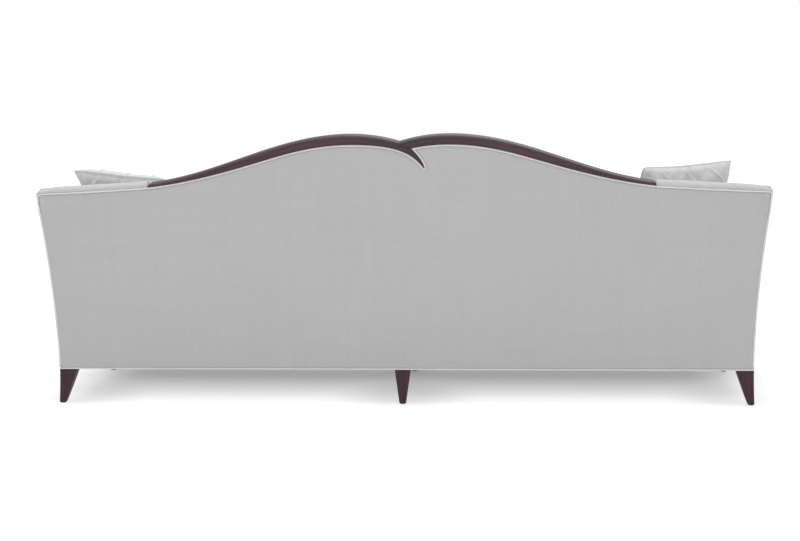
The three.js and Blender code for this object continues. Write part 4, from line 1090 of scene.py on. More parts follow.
FRAME_FACE = PANEL_THICKNESS + CLEARANCE
FRAME_INNER = FRAME_FACE + BOARD_THICKNESS
ARM_BOARD_INNER = FRAME_INNER + FLARE_GAP
BESIDE_WELT = 2 * WELT_RADIUS - WELT_STAND - SEW_OVERLAP
ARM_START = FRONT_LINE + BESIDE_WELT
ROLL_END = WELT_CORNER_X + WELT_RADIUS
ROLL_ROUND_START = ROLL_END - ROLL_ROUND
ARM_LINE_REAR = on_back(0, roll_underside(WELT_CORNER_X), BACK_ROLL_DEPTH).z
UPHOLSTERY_BOTTOM = BODY_BOTTOM + BOTTOM_WELT_TOP


def slab(name, front, back, material):
    """A closed skin between two surfaces that are given on the same grid of points."""
    columns, rows = len(front), len(front[0])
    points = [p for surface in (front, back) for column in surface for p in column]

    def at(side, i, j):
        return (side * columns + i) * rows + j

    faces = []
    for quad in grid_quads(columns, rows):
        faces.append(tuple(at(0, *corner) for corner in quad))
        faces.append(tuple(at(1, *corner) for corner in reversed(quad)))
    rim = grid_rim(columns, rows)
    for a, b in zip(rim, rim[1:] + rim[:1]):
        faces.append((at(0, *b), at(0, *a), at(1, *a), at(1, *b)))
    return link(name, points, face_out(points, faces), material)


def sewn_stations(length, count):
    """Shares along a length, close together near both of its sewn edges."""
    near = [row / length for row in EDGE_ROWS]
    inner = [lerp(near[-1], 1 - near[-1], t) for t in steps(count)][1:-1]
    return near + inner + [1 - share for share in reversed(near)]


def sewn_panel(name, size, counts, place, swell, thickness):
    """A linen panel held along its four edges. Place gives a point from two shares and a depth."""
    columns = sewn_stations(size[0], counts[0])
    rows = sewn_stations(size[1], counts[1])

    def face(s, t):
        gap = min(s * size[0], (1 - s) * size[0], t * size[1], (1 - t) * size[1])
        return place(s, t, edge_depth(gap) - swell(s, t))

    front = [[face(s, t) for t in rows] for s in columns]
    back = [[place(s, t, thickness) for t in rows] for s in columns]
    return slab(name, front, back, LINEN)


def plump(s, t, power):
    return (1 - abs(2 * s - 1) ** power) * (1 - abs(2 * t - 1) ** power)


def arm_line(y):
    """The top of the arm's boards: a sweep that rises to the back, then the slope of the roll over it."""
    rear = back_plane(ARM_LINE_REAR, BACK_ROLL_DEPTH)
    if y > rear:
        return ARM_LINE_REAR - (y - rear) * math.tan(BACK_RAKE)
    t = clamp((rear - y) / (rear - FRONT_LINE))
    return lerp(ARM_FRONT_HEIGHT, ARM_LINE_REAR, (1 - t) ** ARM_SWEEP_POWER)


def arm_side(sign, low, rear_inset, depth_from):
    """A placer for points on one side of an arm, which ends at the raked back."""

    def place(s, t, depth):
        y, z = ARM_START, low
        for _ in range(5):
            z = lerp(low, arm_line(y) - SEAT_GAP, t)
            y = lerp(ARM_START, back_plane(z, rear_inset), s)
        return Vector((sign * (outer_at(z) - depth_from(depth)), y, z))

    return place


def outside_arm(side, sign):
    def swell(s, t):
        return 0.0008 * plump(s, t, 2) + 0.0005 * ripple(3 + sign, s * 4, t * 3)

    place = arm_side(sign, UPHOLSTERY_BOTTOM, BESIDE_WELT, lambda depth: depth)
    piece = sewn_panel(f"{side}_outside_arm", OUTSIDE_ARM_SIZE, (44, 30), place, swell, COVER_THICKNESS)
    dress(piece, "linen", f"{side}_outside_arm_panel")


def inside_arm(side, sign):
    def swell(s, t):
        return ARM_PAD_CROWN * plump(s, t, 4) + 0.0012 * ripple(6 + sign, s * 5, t * 3)

    low = RAIL_BOARD_TOP + 2 * WELT_RADIUS
    place = arm_side(sign, low, PAD_SEAT, lambda depth: ARM_THICKNESS - depth)
    thickness = ARM_THICKNESS - ARM_BOARD_INNER - FLARE_GAP
    piece = sewn_panel(f"{side}_arm_padding", INSIDE_ARM_SIZE, (44, 24), place, swell, thickness)
    dress(piece, "linen", f"{side}_inside_arm_pad")


def arm_roll_ring(base, outer_x, shares):
    """The rounded top of an arm's section, from the outer side to the inner one."""
    ring = []
    for t in shares:
        turn = math.pi * t
        x = outer_x - ARM_THICKNESS / 2 * (1 - math.cos(turn))
        ring.append(Vector((x, base + ROLL_HEIGHT * max(0.0, math.sin(turn)) ** ROLL_FULLNESS)))
    return ring


def arm_roll(side, sign):
    rings = []
    for s in sewn_stations(ARM_ROLL_LENGTH, 64):
        ring = []
        for t in steps(30):
            y = ARM_START
            for _ in range(5):
                base = arm_line(y)
                spot = arm_roll_ring(base, outer_at(base), [t])[0]
                y = lerp(ARM_START, back_plane(spot.y, BACK_ROLL_DEPTH + CLEARANCE), s)
            pulled = edge_depth(min(s, 1 - s) * ARM_ROLL_LENGTH)
            pulled += ARM_REAR_SINK * clamp((s - 0.8) / 0.2) ** 1.5
            pulled *= math.sin(math.pi * t)
            fold = 0.0006 * ripple(11 + sign, s * 9, t * 1.3) * math.sin(math.pi * t)
            ring.append(Vector((sign * spot.x, y, spot.y - pulled + fold)))
        rings.append(ring)
    piece = dress(lofted(f"{side}_arm_top", rings, PAINTED_LIGHT_ROLL_LINEN), "linen", f"{side}_arm_roll")


def arm_outline():
    """The arm seen from the front, from the bottom of its outer side over the top and down again."""
    base = arm_line(FRONT_LINE)
    rise = [lerp(UPHOLSTERY_BOTTOM, base, t) for t in steps(24)]
    outer = [Vector((outer_at(z), z)) for z in rise]
    top = arm_roll_ring(base, outer_at(base), steps(24)[1:24])
    inner = [Vector((p.x - ARM_THICKNESS, p.y)) for p in reversed(outer)]
    return outer + top + inner


def arm_front(side, sign):
    """The facing of an arm with the piping that runs round it."""

    def outline_at(row):
        path = offset_path(arm_outline(), WELT_RADIUS + SEWN_GAP + row)
        return with_level_foot(path, UPHOLSTERY_BOTTOM + row, 6)

    def place(x, z, depth):
        return Vector((sign * x, FRONT_LINE + depth, z))

    def lift(x, z):
        return 0.0006 + 0.0004 * ripple(20 + sign, x * 9, z * 9)

    depth = BESIDE_WELT - CLEARANCE
    piece = stretched_panel(f"{side}_arm_front", outline_at, place, depth, 0.012, lift, LINEN)
    dress(piece, "linen", f"{side}_arm_facing")
    y = FRONT_LINE + WELT_RADIUS - WELT_STAND
    path = [Vector((sign * p.x, y, p.y)) for p in offset_path(arm_outline(), WELT_RADIUS)]
    dress(tube(f"{side}_arm_piping", path, WELT_RADIUS, PAINTED_LIGHT_PIPING), "piping", f"{side}_arm_facing_welt")


def back_roll(side, sign):
    """The padded roll that carries the rail's line on to the corner."""
    stations = [lerp(RAIL_END + CLEARANCE, ROLL_ROUND_START, t) for t in steps(50)]
    stations += [ROLL_ROUND_START + ROLL_ROUND * math.sin(math.pi / 2 * t) for t in steps(24)[1:24]]
    stations.append(ROLL_END - SEAT_GAP)
    middle = BACK_ROLL_DEPTH / 2 - ROLL_PROUD
    corner_x = WELT_CORNER_X - WELT_CORNER_RADIUS
    corner_round = WELT_CORNER_RADIUS + WELT_RADIUS
    rings = []
    for x in stations:
        over = max(0.0, (x - ROLL_ROUND_START) / ROLL_ROUND)
        fade = math.sqrt(max(0.02, 1 - over**2))
        past = max(0.0, x - corner_x)
        drop = corner_round - math.sqrt(max(0.0, corner_round**2 - past**2))
        ring = []
        for t in steps(32):
            turn = math.pi * t
            swell = max(0.0, math.sin(turn))
            fold = 0.0005 * ripple(15 + sign, x * 9, t * 1.4) + 0.0003 * ripple(17 + sign, x * 40, t * 2)
            up = roll_underside(x) + (ROLL_HEIGHT * fade + fold) * swell**ROLL_FULLNESS
            up -= drop * clamp(1 - t / 0.25)
            ring.append(on_back(sign * x, up, middle - BACK_ROLL_DEPTH / 2 * math.cos(turn)))
        rings.append(ring)
    piece = dress(lofted(f"{side}_back_bolster", rings, PAINTED_LIGHT_ROLL_LINEN), "linen", f"{side}_back_roll")


def rounded_edge(t):
    """A quarter circle that rises from 0 at an edge to 1 at the far end of its rounding."""
    return math.sqrt(max(0.0, 1 - (1 - min(t, 1.0)) ** 2))


def pad_face(share):
    """How far in the pad's face stands, from its bottom edge at 0 to its top edge at 1."""
    slope = lerp(PAD_BOTTOM_DEPTH, PAD_TOP_DEPTH, share)
    lumbar = PAD_LUMBAR * math.sin(math.pi * min(share / PAD_SHARES["lumbar"], 1.0)) ** 2
    rounding = rounded_edge((1 - share) / PAD_SHARES["top_round"])
    return PAD_EDGE_DEPTH + (slope + lumbar - PAD_EDGE_DEPTH) * rounding


def pad_top_line(x):
    return (rail_underside(x) if abs(x) <= RAIL_END else roll_underside(x)) - 2 * SEAT_GAP


def pad_side(up):
    return half_width_up(up) - ARM_THICKNESS - ARM_PAD_CROWN - SEAT_GAP


def crowded(share, count):
    """Places from 0 to a share, closest together near 0."""
    return [share * (1 - math.cos(math.pi / 2 * t)) for t in steps(count)]


def inside_back():
    near = crowded(PAD_SHARES["side_round"], 7)
    side = 1 - near[-1]
    columns = [t - 1 for t in near]
    columns += [lerp(-side, side, t) for t in steps(90)][1:-1]
    columns += [1 - t for t in reversed(near)]
    over = crowded(PAD_SHARES["top_round"], 10)
    rows = [(1 - over[-1]) * t for t in steps(26)][:-1] + [1 - t for t in reversed(over)]

    def spot(u, share):
        up = PAD_BOTTOM_LINE
        for _ in range(4):
            x = u * pad_side(up)
            symmetric = max(abs(x), HUMP_PEAK_OFFSET / 2)
            up = lerp(PAD_BOTTOM_LINE, min(pad_top_line(-symmetric), pad_top_line(x)), share)
        return u * pad_side(up), up

    def face(u, share):
        x, up = spot(u, share)
        swell = rounded_edge((1 - abs(u)) / PAD_SHARES["side_round"])
        depth = lerp(PAD_EDGE_DEPTH, pad_face(share), lerp(PAD_SHARES["side_depth"], 1, swell))
        waves = 0.002 * ripple(21, x * 3, up * 5) + 0.0007 * ripple(22, x * 13, up * 9)
        return on_back(x, up, depth + waves * swell * plump(0.5, share, 4))

    front = [[face(u, share) for share in rows] for u in columns]
    back = [[on_back(*spot(u, share), PAD_SEAT) for share in rows] for u in columns]
    piece = dress(slab("inside_back", front, back, LINEN), "linen", "inside_back_pad")


RAIL_BOTTOM = BODY_BOTTOM + 0.003
FRONT_RAIL_FACE = FRONT_LINE + BORDER_SETBACK + BORDER_THICKNESS + CLEARANCE
FRONT_RAIL_INNER = FRONT_RAIL_FACE + BOARD_THICKNESS
REAR_RAIL_INNER = back_plane(RAIL_BOTTOM, FRAME_FACE) - BOARD_THICKNESS
SPRING_SEAT = 0.2435
SPRING_RISE = 0.030
SPRING_LIFT = 0.0023


def border_side(z):
    return outer_at(z) - ARM_THICKNESS - ARM_PAD_CROWN - SEAT_GAP


def front_border():
    """The panel below the seat cushions, pressed between the arms."""
    near = FRONT_LINE + BORDER_SETBACK + BORDER_CROWN

    def place(s, t, depth):
        z = lerp(UPHOLSTERY_BOTTOM, DECK_TOP, t)
        side = outer_at(z) - ARM_THICKNESS - 2 * CLEARANCE
        return Vector((lerp(-side, side, s), near + depth, z))

    def swell(s, t):
        return BORDER_CROWN * plump(s, t, 4) + 0.0008 * ripple(25, s * 14, t * 2)

    thickness = BORDER_THICKNESS - BORDER_CROWN
    width = 2 * border_side(UPHOLSTERY_BOTTOM)
    piece = sewn_panel("seat_border", (width, BORDER_HEIGHT), (110, 12), place, swell, thickness)
    dress(piece, "linen", "front_border")


def seat_deck():
    """The padding over the springs: it arches with them and rests on both rails."""
    side = border_side(RAIL_BOARD_TOP)
    front = FRONT_RAIL_FACE
    rear = back_plane(RAIL_BOARD_TOP, FRAME_INNER) - SEAT_GAP
    spring_front = FRONT_RAIL_FACE + BOARD_THICKNESS / 2
    spring_rear = REAR_RAIL_INNER + BOARD_THICKNESS / 2

    def underside(y):
        held = clamp(y, FRONT_RAIL_INNER, REAR_RAIL_INNER)
        t = (held - spring_front) / (spring_rear - spring_front)
        rise = SPRING_RISE * math.sin(math.pi * t) if held == y else 0.0
        return SPRING_SEAT + SPRING_LIFT + rise

    columns = sewn_stations(2 * side, 80)
    rows = sewn_stations(rear - front, 34)
    top, bottom = [], []
    for s in columns:
        x = lerp(-side, side, s)
        ys = [lerp(front, rear, t) for t in rows]
        gaps = [min(s * 2 * side, (1 - s) * 2 * side, y - front, rear - y) for y in ys]
        top.append([Vector((x, y, DECK_TOP - edge_depth(gap))) for y, gap in zip(ys, gaps)])
        bottom.append([Vector((x, y, underside(y))) for y in ys])
    dress(slab("seat_platform", top, bottom, LINEN), "linen", "seat_deck")


def bottom_piping():
    radius = BOTTOM_WELT_CORNER_SHARE * WELT_RADIUS
    x = BOTTOM_HALF_WIDTH - WELT_RADIUS - radius
    y0, y1 = FRONT_LINE + WELT_RADIUS + radius, BACK_LINE - WELT_RADIUS - radius
    z = BODY_BOTTOM + WELT_RADIUS
    path = []
    corners = [(x, y1, 0), (-x, y1, 1), (-x, y0, 2), (x, y0, 3)]
    for cx, cy, quarter in corners:
        arc = [Vector((*place, z)) for place in quarter_round(cx, cy, radius, quarter, 6)]
        if path:
            path += [path[-1].lerp(arc[0], t) for t in steps(20)[1:20]]
        path += arc
    path += [path[-1].lerp(path[0], t) for t in steps(20)[1:20]]
    dress(tube("bottom_piping", path, WELT_RADIUS, PAINTED_LIGHT_PIPING, closed=True), "piping", "bottom_welt")


def crest_board_bottom(x):
    return crest_top(max(abs(x), HUMP_PEAK_OFFSET)) - RAIL_HEIGHT - CREST_BOARD_HEIGHT


def webbing_strap(name, start, end, wide, out, crossings):
    """A woven strap that passes over and under the straps it crosses."""
    length = (end - start).length
    along = (end - start) / length
    rings = []
    for t in steps(max(24, int(length / STRAP_CELL))):
        run = length * t
        weave = 0.0
        for place, side in crossings:
            weave += side * STRAP_WEAVE * math.exp(-(((run - place) / (WEBBING_WIDTH * 0.55)) ** 4))
        centre = start + along * run + out * weave
        half_w, half_t = WEBBING_WIDTH / 2, STRAP_HALF_THICKNESS
        rings.append([centre + wide * (half_w * a) + out * (half_t * b) for a, b in STRAP_SECTION])
    return lofted(name, rings, JUTE)


def back_webbing():
    """Upright straps and two rows across, woven through each other on the back frame."""
    reach = pad_side(WEBBING_ROWS[0]) - WEBBING_SIDE_MARGIN
    out = (on_back(0, 0, 1) - on_back(0, 0, 0)).normalized()
    rise = (on_back(0, 1, 0) - on_back(0, 0, 0)).normalized()
    middle = FRAME_INNER + CLEARANCE + WEBBING_THICKNESS
    ends = [half_width_up(up) - FRAME_FACE - POST_WIDTH / 2 for up in WEBBING_ROWS]
    places = [lerp(-reach, reach, t) for t in steps(WEBBING_COUNT - 1)]
    for i, x in enumerate(places):
        half = WEBBING_WIDTH / 2
        top = min(crest_board_bottom(x - half), crest_board_bottom(x + half)) + WEBBING_WIDTH
        crossings = [(up + half - TACK_RAIL_BOTTOM, (-1) ** (i + k)) for k, up in enumerate(WEBBING_ROWS)]
        low, high = on_back(x, TACK_RAIL_BOTTOM, middle), on_back(x, top, middle)
        strap = webbing_strap(f"upright_strap_{i}", low, high, Vector((1, 0, 0)), out, crossings)
        dress(strap, "webbing", "back_webbing")
    for k, (up, end) in enumerate(zip(WEBBING_ROWS, ends)):
        height = up + WEBBING_WIDTH / 2
        crossings = [(x + end, -((-1) ** (i + k))) for i, x in enumerate(places)]
        left, right = on_back(-end, height, middle), on_back(end, height, middle)
        strap = webbing_strap(f"cross_strap_{k}", left, right, rise, out, crossings)
        dress(strap, "webbing", "back_webbing")


def dust_cover():
    """Black cambric under the seat, cut round the legs' plates and sagging a little between them."""
    bolt_x = BOTTOM_HALF_WIDTH - FRAME_FACE - BOARD_THICKNESS / 2
    rear_bolt = back_plane(RAIL_BOTTOM, FRAME_FACE + BOARD_THICKNESS / 2)
    half_x = BOTTOM_HALF_WIDTH - FRAME_FACE
    front, rear = FRONT_LINE + FRAME_FACE, BACK_LINE - 2 * FRAME_FACE

    def outline_at(row):
        x0, y0, y1 = half_x - row, front + row, rear - row
        cut = PLATE_REACH + row
        near, far = FRONT_CORNER_BOLT_LINE + cut, rear_bolt - cut
        half = [(cut, FRONT_MIDDLE_BOLT_LINE + cut), (cut, y0), (bolt_x - cut, y0), (bolt_x - cut, near)]
        half += [(x0, near), (x0, far), (bolt_x - cut, far), (bolt_x - cut, y1), (cut, y1), (cut, far)]
        corners = half + [(-x, y) for x, y in reversed(half)]
        outline = []
        for (ax, ay), (bx, by) in zip(corners, corners[1:] + corners[:1]):
            pieces = max(1, round(math.hypot(bx - ax, by - ay) / 0.05))
            outline += [Vector((lerp(ax, bx, i / pieces), lerp(ay, by, i / pieces))) for i in range(pieces)]
        return outline

    def place(x, y, depth):
        return Vector((x, y, BODY_BOTTOM + DUST_COVER_RISE + depth * DUST_COVER_THICKNESS / EDGE_ROUND))

    def sag(x, y):
        across = 1 - (x / half_x) ** 4
        along = math.sin(math.pi * clamp((y - front) / (rear - front)))
        between_legs = math.sin(math.pi * clamp(abs(x) / bolt_x)) ** 2
        return DUST_COVER_SAG * across * along**1.5 * lerp(0.35, 1, between_legs) * DUST_COVER_THICKNESS

    piece = stretched_panel("cambric_cover", outline_at, place, EDGE_ROUND, 0.03, sag, CAMBRIC)
    dress(piece, "dust_cloth", "dust_cover")


# Seat cushions

CUSHION_BOTTOM = DECK_TOP + SEAT_GAP
CUSHION_TOP = CUSHION_BOTTOM + CUSHION_HEIGHT
CUSHION_FRONT = FRONT_LINE + CUSHION_FRONT_SETBACK
PAD_FOOT = on_back(0, PAD_BOTTOM_LINE, PAD_BOTTOM_DEPTH)
CUSHION_REAR = back_plane(PAD_FOOT.z, PAD_BOTTOM_DEPTH) - CUSHION_BACK_GAP
CUSHION_INNER = 2 * SEAT_GAP
CUSHION_OUTER = border_side(CUSHION_BOTTOM) - SEAT_GAP


def as_settled(piece, levels=0):
    """The piece's mesh with its modifiers applied, and made finer."""
    if levels:
        finer = piece.modifiers.new("finer", "SUBSURF")
        finer.levels = levels
    shown = piece.evaluated_get(bpy.context.evaluated_depsgraph_get())
    mesh = bpy.data.meshes.new_from_object(shown)
    piece.modifiers.clear()
    piece.data = mesh
    mesh.shade_smooth()
    return mesh


def taken(items, name):
    """One value of every vertex, as rows of three."""
    values = np.zeros(len(items) * 3)
    items.foreach_get(name, values)
    return values.reshape(-1, 3)


def put(mesh, spots):
    mesh.vertices.foreach_set("co", np.asarray(spots, dtype=float).ravel())
    mesh.update()


COVER_CLOTH = {
    "quality": 6,
    "mass": 0.3,
    "tension_stiffness": 25,
    "compression_stiffness": 25,
    "shear_stiffness": 10,
    "bending_stiffness": 2.0,
    "use_pressure": True,
}


def filled(piece, pinned, pressure, slack, cap):
    """Where the cover's points go when cloth simulation fills it. No point moves past the cap."""
    start = taken(piece.data.vertices, "co")
    seams = piece.vertex_groups.new(name="seams")
    seams.add(pinned, 1.0, "REPLACE")
    cover = piece.modifiers.new("cover", "CLOTH")
    settings = cover.settings
    for key, value in COVER_CLOTH.items():
        setattr(settings, key, value)
    settings.uniform_pressure_force = pressure
    settings.shrink_min = -slack
    settings.effector_weights.gravity = 0
    if pinned:
        settings.vertex_group_mass = "seams"
    cover.collision_settings.use_collision = False
    cover.collision_settings.use_self_collision = False
    cover.point_cache.frame_end = FILL_FRAMES
    scene = bpy.context.scene
    for step in range(1, FILL_FRAMES + 1):
        scene.frame_set(step)
    shown = piece.evaluated_get(bpy.context.evaluated_depsgraph_get())
    end = taken(shown.data.vertices, "co")
    piece.modifiers.clear()
    piece.vertex_groups.clear()
    scene.frame_set(1)
    move = end - start
    length = np.linalg.norm(move, axis=1, keepdims=True)
    return start + move * cap / (cap + length)


def cushion_plan(u, v, flare):
    """A place in a cushion's plan, from its middle, with round corners and sides that draw in."""
    half = (CUSHION_OUTER + flare - CUSHION_INNER) / 2
    depth = (CUSHION_REAR - CUSHION_FRONT) / 2
    spans = (half - CUSHION_WELT_RADIUS, depth - CUSHION_WELT_RADIUS)
    x, y = abs(u) * spans[0], abs(v) * spans[1]
    a, b = (x - spans[0]) / CUSHION_CORNER + 1, (y - spans[1]) / CUSHION_CORNER + 1
    if a > 0 and b > 0:
        round_a, round_b = a * math.sqrt(1 - b * b / 2), b * math.sqrt(1 - a * a / 2)
        x += (round_a - a) * CUSHION_CORNER
        y += (round_b - b) * CUSHION_CORNER
    x *= 1 - CUSHION_DRAW_IN / half * (1 - v * v) * abs(u)
    y *= 1 - CUSHION_DRAW_IN / depth * (1 - u * u) * abs(v)
    middle = Vector((CUSHION_INNER + half, (CUSHION_FRONT + CUSHION_REAR) / 2))
    return middle + Vector((math.copysign(x, u), math.copysign(y, v)))


def lattice_shares(length):
    """Shares from -1 to 1 along a cushion, closer together at its round corners."""
    near = [CUSHION_CORNER * t for t in (0, 0.3, 0.62, 1)]
    shares = [2 * n / length - 1 for n in near]
    count = round((length - 2 * CUSHION_CORNER) / 0.021)
    shares += [lerp(shares[-1], -shares[-1], t) for t in steps(count)][1:-1]
    return shares + [-share for share in reversed(shares[:4])]


def cushion_cover(sign, low, high):
    """The points and faces of a cushion's cover, and the rows of points up its border panel."""
    us = lattice_shares(CUSHION_OUTER - CUSHION_INNER)
    vs = lattice_shares(CUSHION_REAR - CUSHION_FRONT)
    columns, rows = len(us), len(vs)

    def spot(u, v, share, z):
        plan = cushion_plan(u, v, CUSHION_FLARE * share)
        return Vector((sign * plan.x, plan.y, z))

    def at(layer, i, j):
        return (layer * columns + i) * rows + j

    points = []
    for layer in (0, 1):
        for u in us:
            for v in vs:
                rise = plump((u + 1) / 2, (v + 1) / 2, 3)
                bottom = lerp(low, CUSHION_BOTTOM, min(1.0, 6 * rise))
                points.append(spot(u, v, layer, high + 0.6 * CUSHION_CROWN * rise if layer else bottom))
    rim = grid_rim(columns, rows)
    levels = [[at(0, *place) for place in rim]]
    for share in steps(7)[1:7]:
        levels.append([len(points) + k for k in range(len(rim))])
        points += [spot(us[i], vs[j], share, lerp(low, high, share)) for i, j in rim]
    levels.append([at(1, *place) for place in rim])
    faces = []
    for layer, order in ((0, -1), (1, 1)):
        for quad in grid_quads(columns, rows):
            faces.append(tuple(at(layer, *corner) for corner in quad[::order]))
    for below, above in zip(levels, levels[1:]):
        for k in range(len(rim)):
            n = (k + 1) % len(rim)
            faces.append((below[k], below[n], above[n], above[k]))
    return points, face_out(points, faces), levels


def seat_cushion(side, sign):
    """A crowned cushion with a border panel and piping round its top and bottom edges."""
    low, high = CUSHION_BOTTOM + CUSHION_SEAM, CUSHION_TOP - CUSHION_SEAM / 2
    points, faces, levels = cushion_cover(sign, low, high)
    piece = link(f"{side}_cushion", points, faces, LINEN)
    spots = filled(piece, levels[0] + levels[-1], CUSHION_PRESSURE, CUSHION_SLACK, CUSHION_CAP)
    share = np.clip((spots[:, 2] - low) / (high - low), 0, 1)
    outer = CUSHION_OUTER + CUSHION_FLARE * share
    spots[:, 0] = sign * np.clip(sign * spots[:, 0], CUSHION_INNER, outer)
    foremost, rearmost = CUSHION_FRONT - CUSHION_WELT_RADIUS, CUSHION_REAR + CUSHION_BACK_GAP / 2
    spots[:, 1] = np.clip(spots[:, 1], foremost, rearmost)
    spots[:, 2] = np.clip(spots[:, 2], CUSHION_BOTTOM, CUSHION_TOP + CUSHION_CROWN + CUSHION_CAP / 2)
    put(piece.data, spots)
    as_settled(piece, 1)
    dress(piece, "linen", f"{side}_seat_cushion")
    for edge, level in (("lower", levels[0]), ("upper", levels[-1])):
        path = [Vector(spots[i]) for i in level]
        welt = tube(f"{side}_cushion_{edge}_piping", path, CUSHION_WELT_RADIUS, PAINTED_LIGHT_PIPING, 8, closed=True)
        dress(welt, "piping", f"{side}_seat_cushion")


# Throw pillows


def pillow_lattice(name):
    """A flat cover of two panels sewn together round their edge, with its place on the cover kept."""
    half = PILLOW_SIDE / 2
    shares = [2 * t - 1 for t in steps(PILLOW_CELLS)]
    points, cover, index = [], [], {}
    for layer in (1, -1):
        for i, a in enumerate(shares):
            for j, b in enumerate(shares):
                is_rim = i in (0, PILLOW_CELLS) or j in (0, PILLOW_CELLS)
                if is_rim and layer == -1:
                    index[layer, i, j] = index[1, i, j]
                    continue
                fill = (1 - a * a) * (1 - b * b)
                index[layer, i, j] = len(points)
                rise = layer * 0.85 * PILLOW_HALF_THICKNESS * fill**PILLOW_FILL_POWER
                points.append(Vector((a * half, b * half, rise)))
                cover.append((a, b, layer))
    faces = []
    for layer in (1, -1):
        for quad in grid_quads(len(shares), len(shares)):
            faces.append(tuple(index[layer, i, j] for i, j in quad[::layer]))
    piece = link(name, points, face_out(points, faces), PILLOW_COVER)
    attribute = piece.data.attributes.new("cover", "FLOAT_VECTOR", "POINT")
    attribute.data.foreach_set("vector", [c for place in cover for c in place])
    rim = [max(abs(a), abs(b)) > 0.999 for a, b, _ in cover]
    seam = [float(rim[e.vertices[0]] and rim[e.vertices[1]]) for e in piece.data.edges]
    piece.data.attributes.new("crease_edge", "FLOAT", "EDGE").data.foreach_set("value", seam)
    return piece


def line_gap(share, pitch):
    """How far a share lies past the nearest line of a family, or before it where that is negative."""
    return (share / pitch - np.round(share / pitch)) * pitch * PILLOW_SIDE / 2 / math.sqrt(2)


def bell(gap, width):
    return np.exp(-((gap / width) ** 2))


def tuck_relief(cover):
    """The cover is drawn in along diagonal lines, and each tuck stands up as a narrow ridge."""
    a, b = cover[:, 0], cover[:, 1]
    pitch = 2 * PILLOW_TUCK_PITCH / PILLOW_SIDE
    main, cross = line_gap(a + b - PILLOW_TUCK_PHASE, pitch), line_gap(a - b, pitch)
    inner = np.clip((1 - np.maximum(abs(a), abs(b))) * 14, 0, 1)
    ridge = TUCK_RIDGE * bell(main, np.where(main > 0, TUCK_WIDTH, 2.5 * TUCK_WIDTH))
    sunk = TUCK_DEPTH * bell(main, 5 * TUCK_WIDTH) + TUCK_DEPTH * 0.5 * bell(cross, 4 * TUCK_WIDTH)
    return (ridge - sunk - PUCKER_DEPTH * pucker_folds(cover)) * inner


def pucker_folds(cover):
    """The small folds that a tight seam gathers in the cover beside it."""
    a, b = cover[:, 0], cover[:, 1]
    beside_upright = abs(a) > abs(b)
    along = np.where(beside_upright, b, a) * PILLOW_SIDE / 2
    seed = np.where(beside_upright, np.sign(a) * 1.7, np.sign(b) * 0.9) + np.sign(cover[:, 2]) * 0.6
    gap = (1 - np.maximum(abs(a), abs(b))) * PILLOW_SIDE / 2
    folds = sum(size * np.sin(along * pitch + shift * seed) for size, pitch, shift in PUCKER_WAVES)
    return np.clip(folds, 0, None) * bell(gap - PUCKER_REACH, PUCKER_REACH) * 0.6


def throw_pillow(side, sign, pose):
    """A square pillow that leans in its corner on the seat cushion."""
    piece = pillow_lattice(f"{side}_pillow")
    put(piece.data, filled(piece, [], PILLOW_PRESSURE, 0.0, PILLOW_CAP))
    mesh = as_settled(piece, 2)
    cover = taken(mesh.attributes["cover"].data, "vector")
    put(mesh, squared_pillow(taken(mesh.vertices, "co"), cover))
    normals = taken(mesh.vertices, "normal")
    put(mesh, taken(mesh.vertices, "co") + normals * tuck_relief(cover)[:, None])
    stand_pillow(mesh, sign, pose)
    dress(piece, "pillow_cover", f"{side}_throw_pillow")


def squared_pillow(spots, cover):
    """Brings the filled cover to the pillow's size, its sides drawn in a little between eased corners."""
    half = PILLOW_SIDE / 2
    on_rim = np.abs(cover[:, :2]).max(1) > 0.999
    bins = np.array(steps(PILLOW_CELLS)) * 2 - 1
    for axis in (0, 1):
        along = cover[:, 1 - axis]
        edge = on_rim & (abs(cover[:, axis]) > 0.999)
        nearest = np.abs(along[edge][:, None] - bins).argmin(1)
        drawn_at = [abs(spots[edge, axis])[nearest == k].mean() for k in range(len(bins))]
        drawn = np.interp(along, bins, drawn_at)
        wanted = half - PILLOW_DRAW_IN * (1 - along**2)
        spots[:, axis] *= 1 + (wanted / drawn - 1) * cover[:, axis] ** 2
    spots[:, :2] *= 1 - PILLOW_CORNER_EASE * abs(cover[:, :1] * cover[:, 1:2]) ** 12
    spots[:, 2] *= PILLOW_HALF_THICKNESS / abs(spots[:, 2]).max()
    return spots


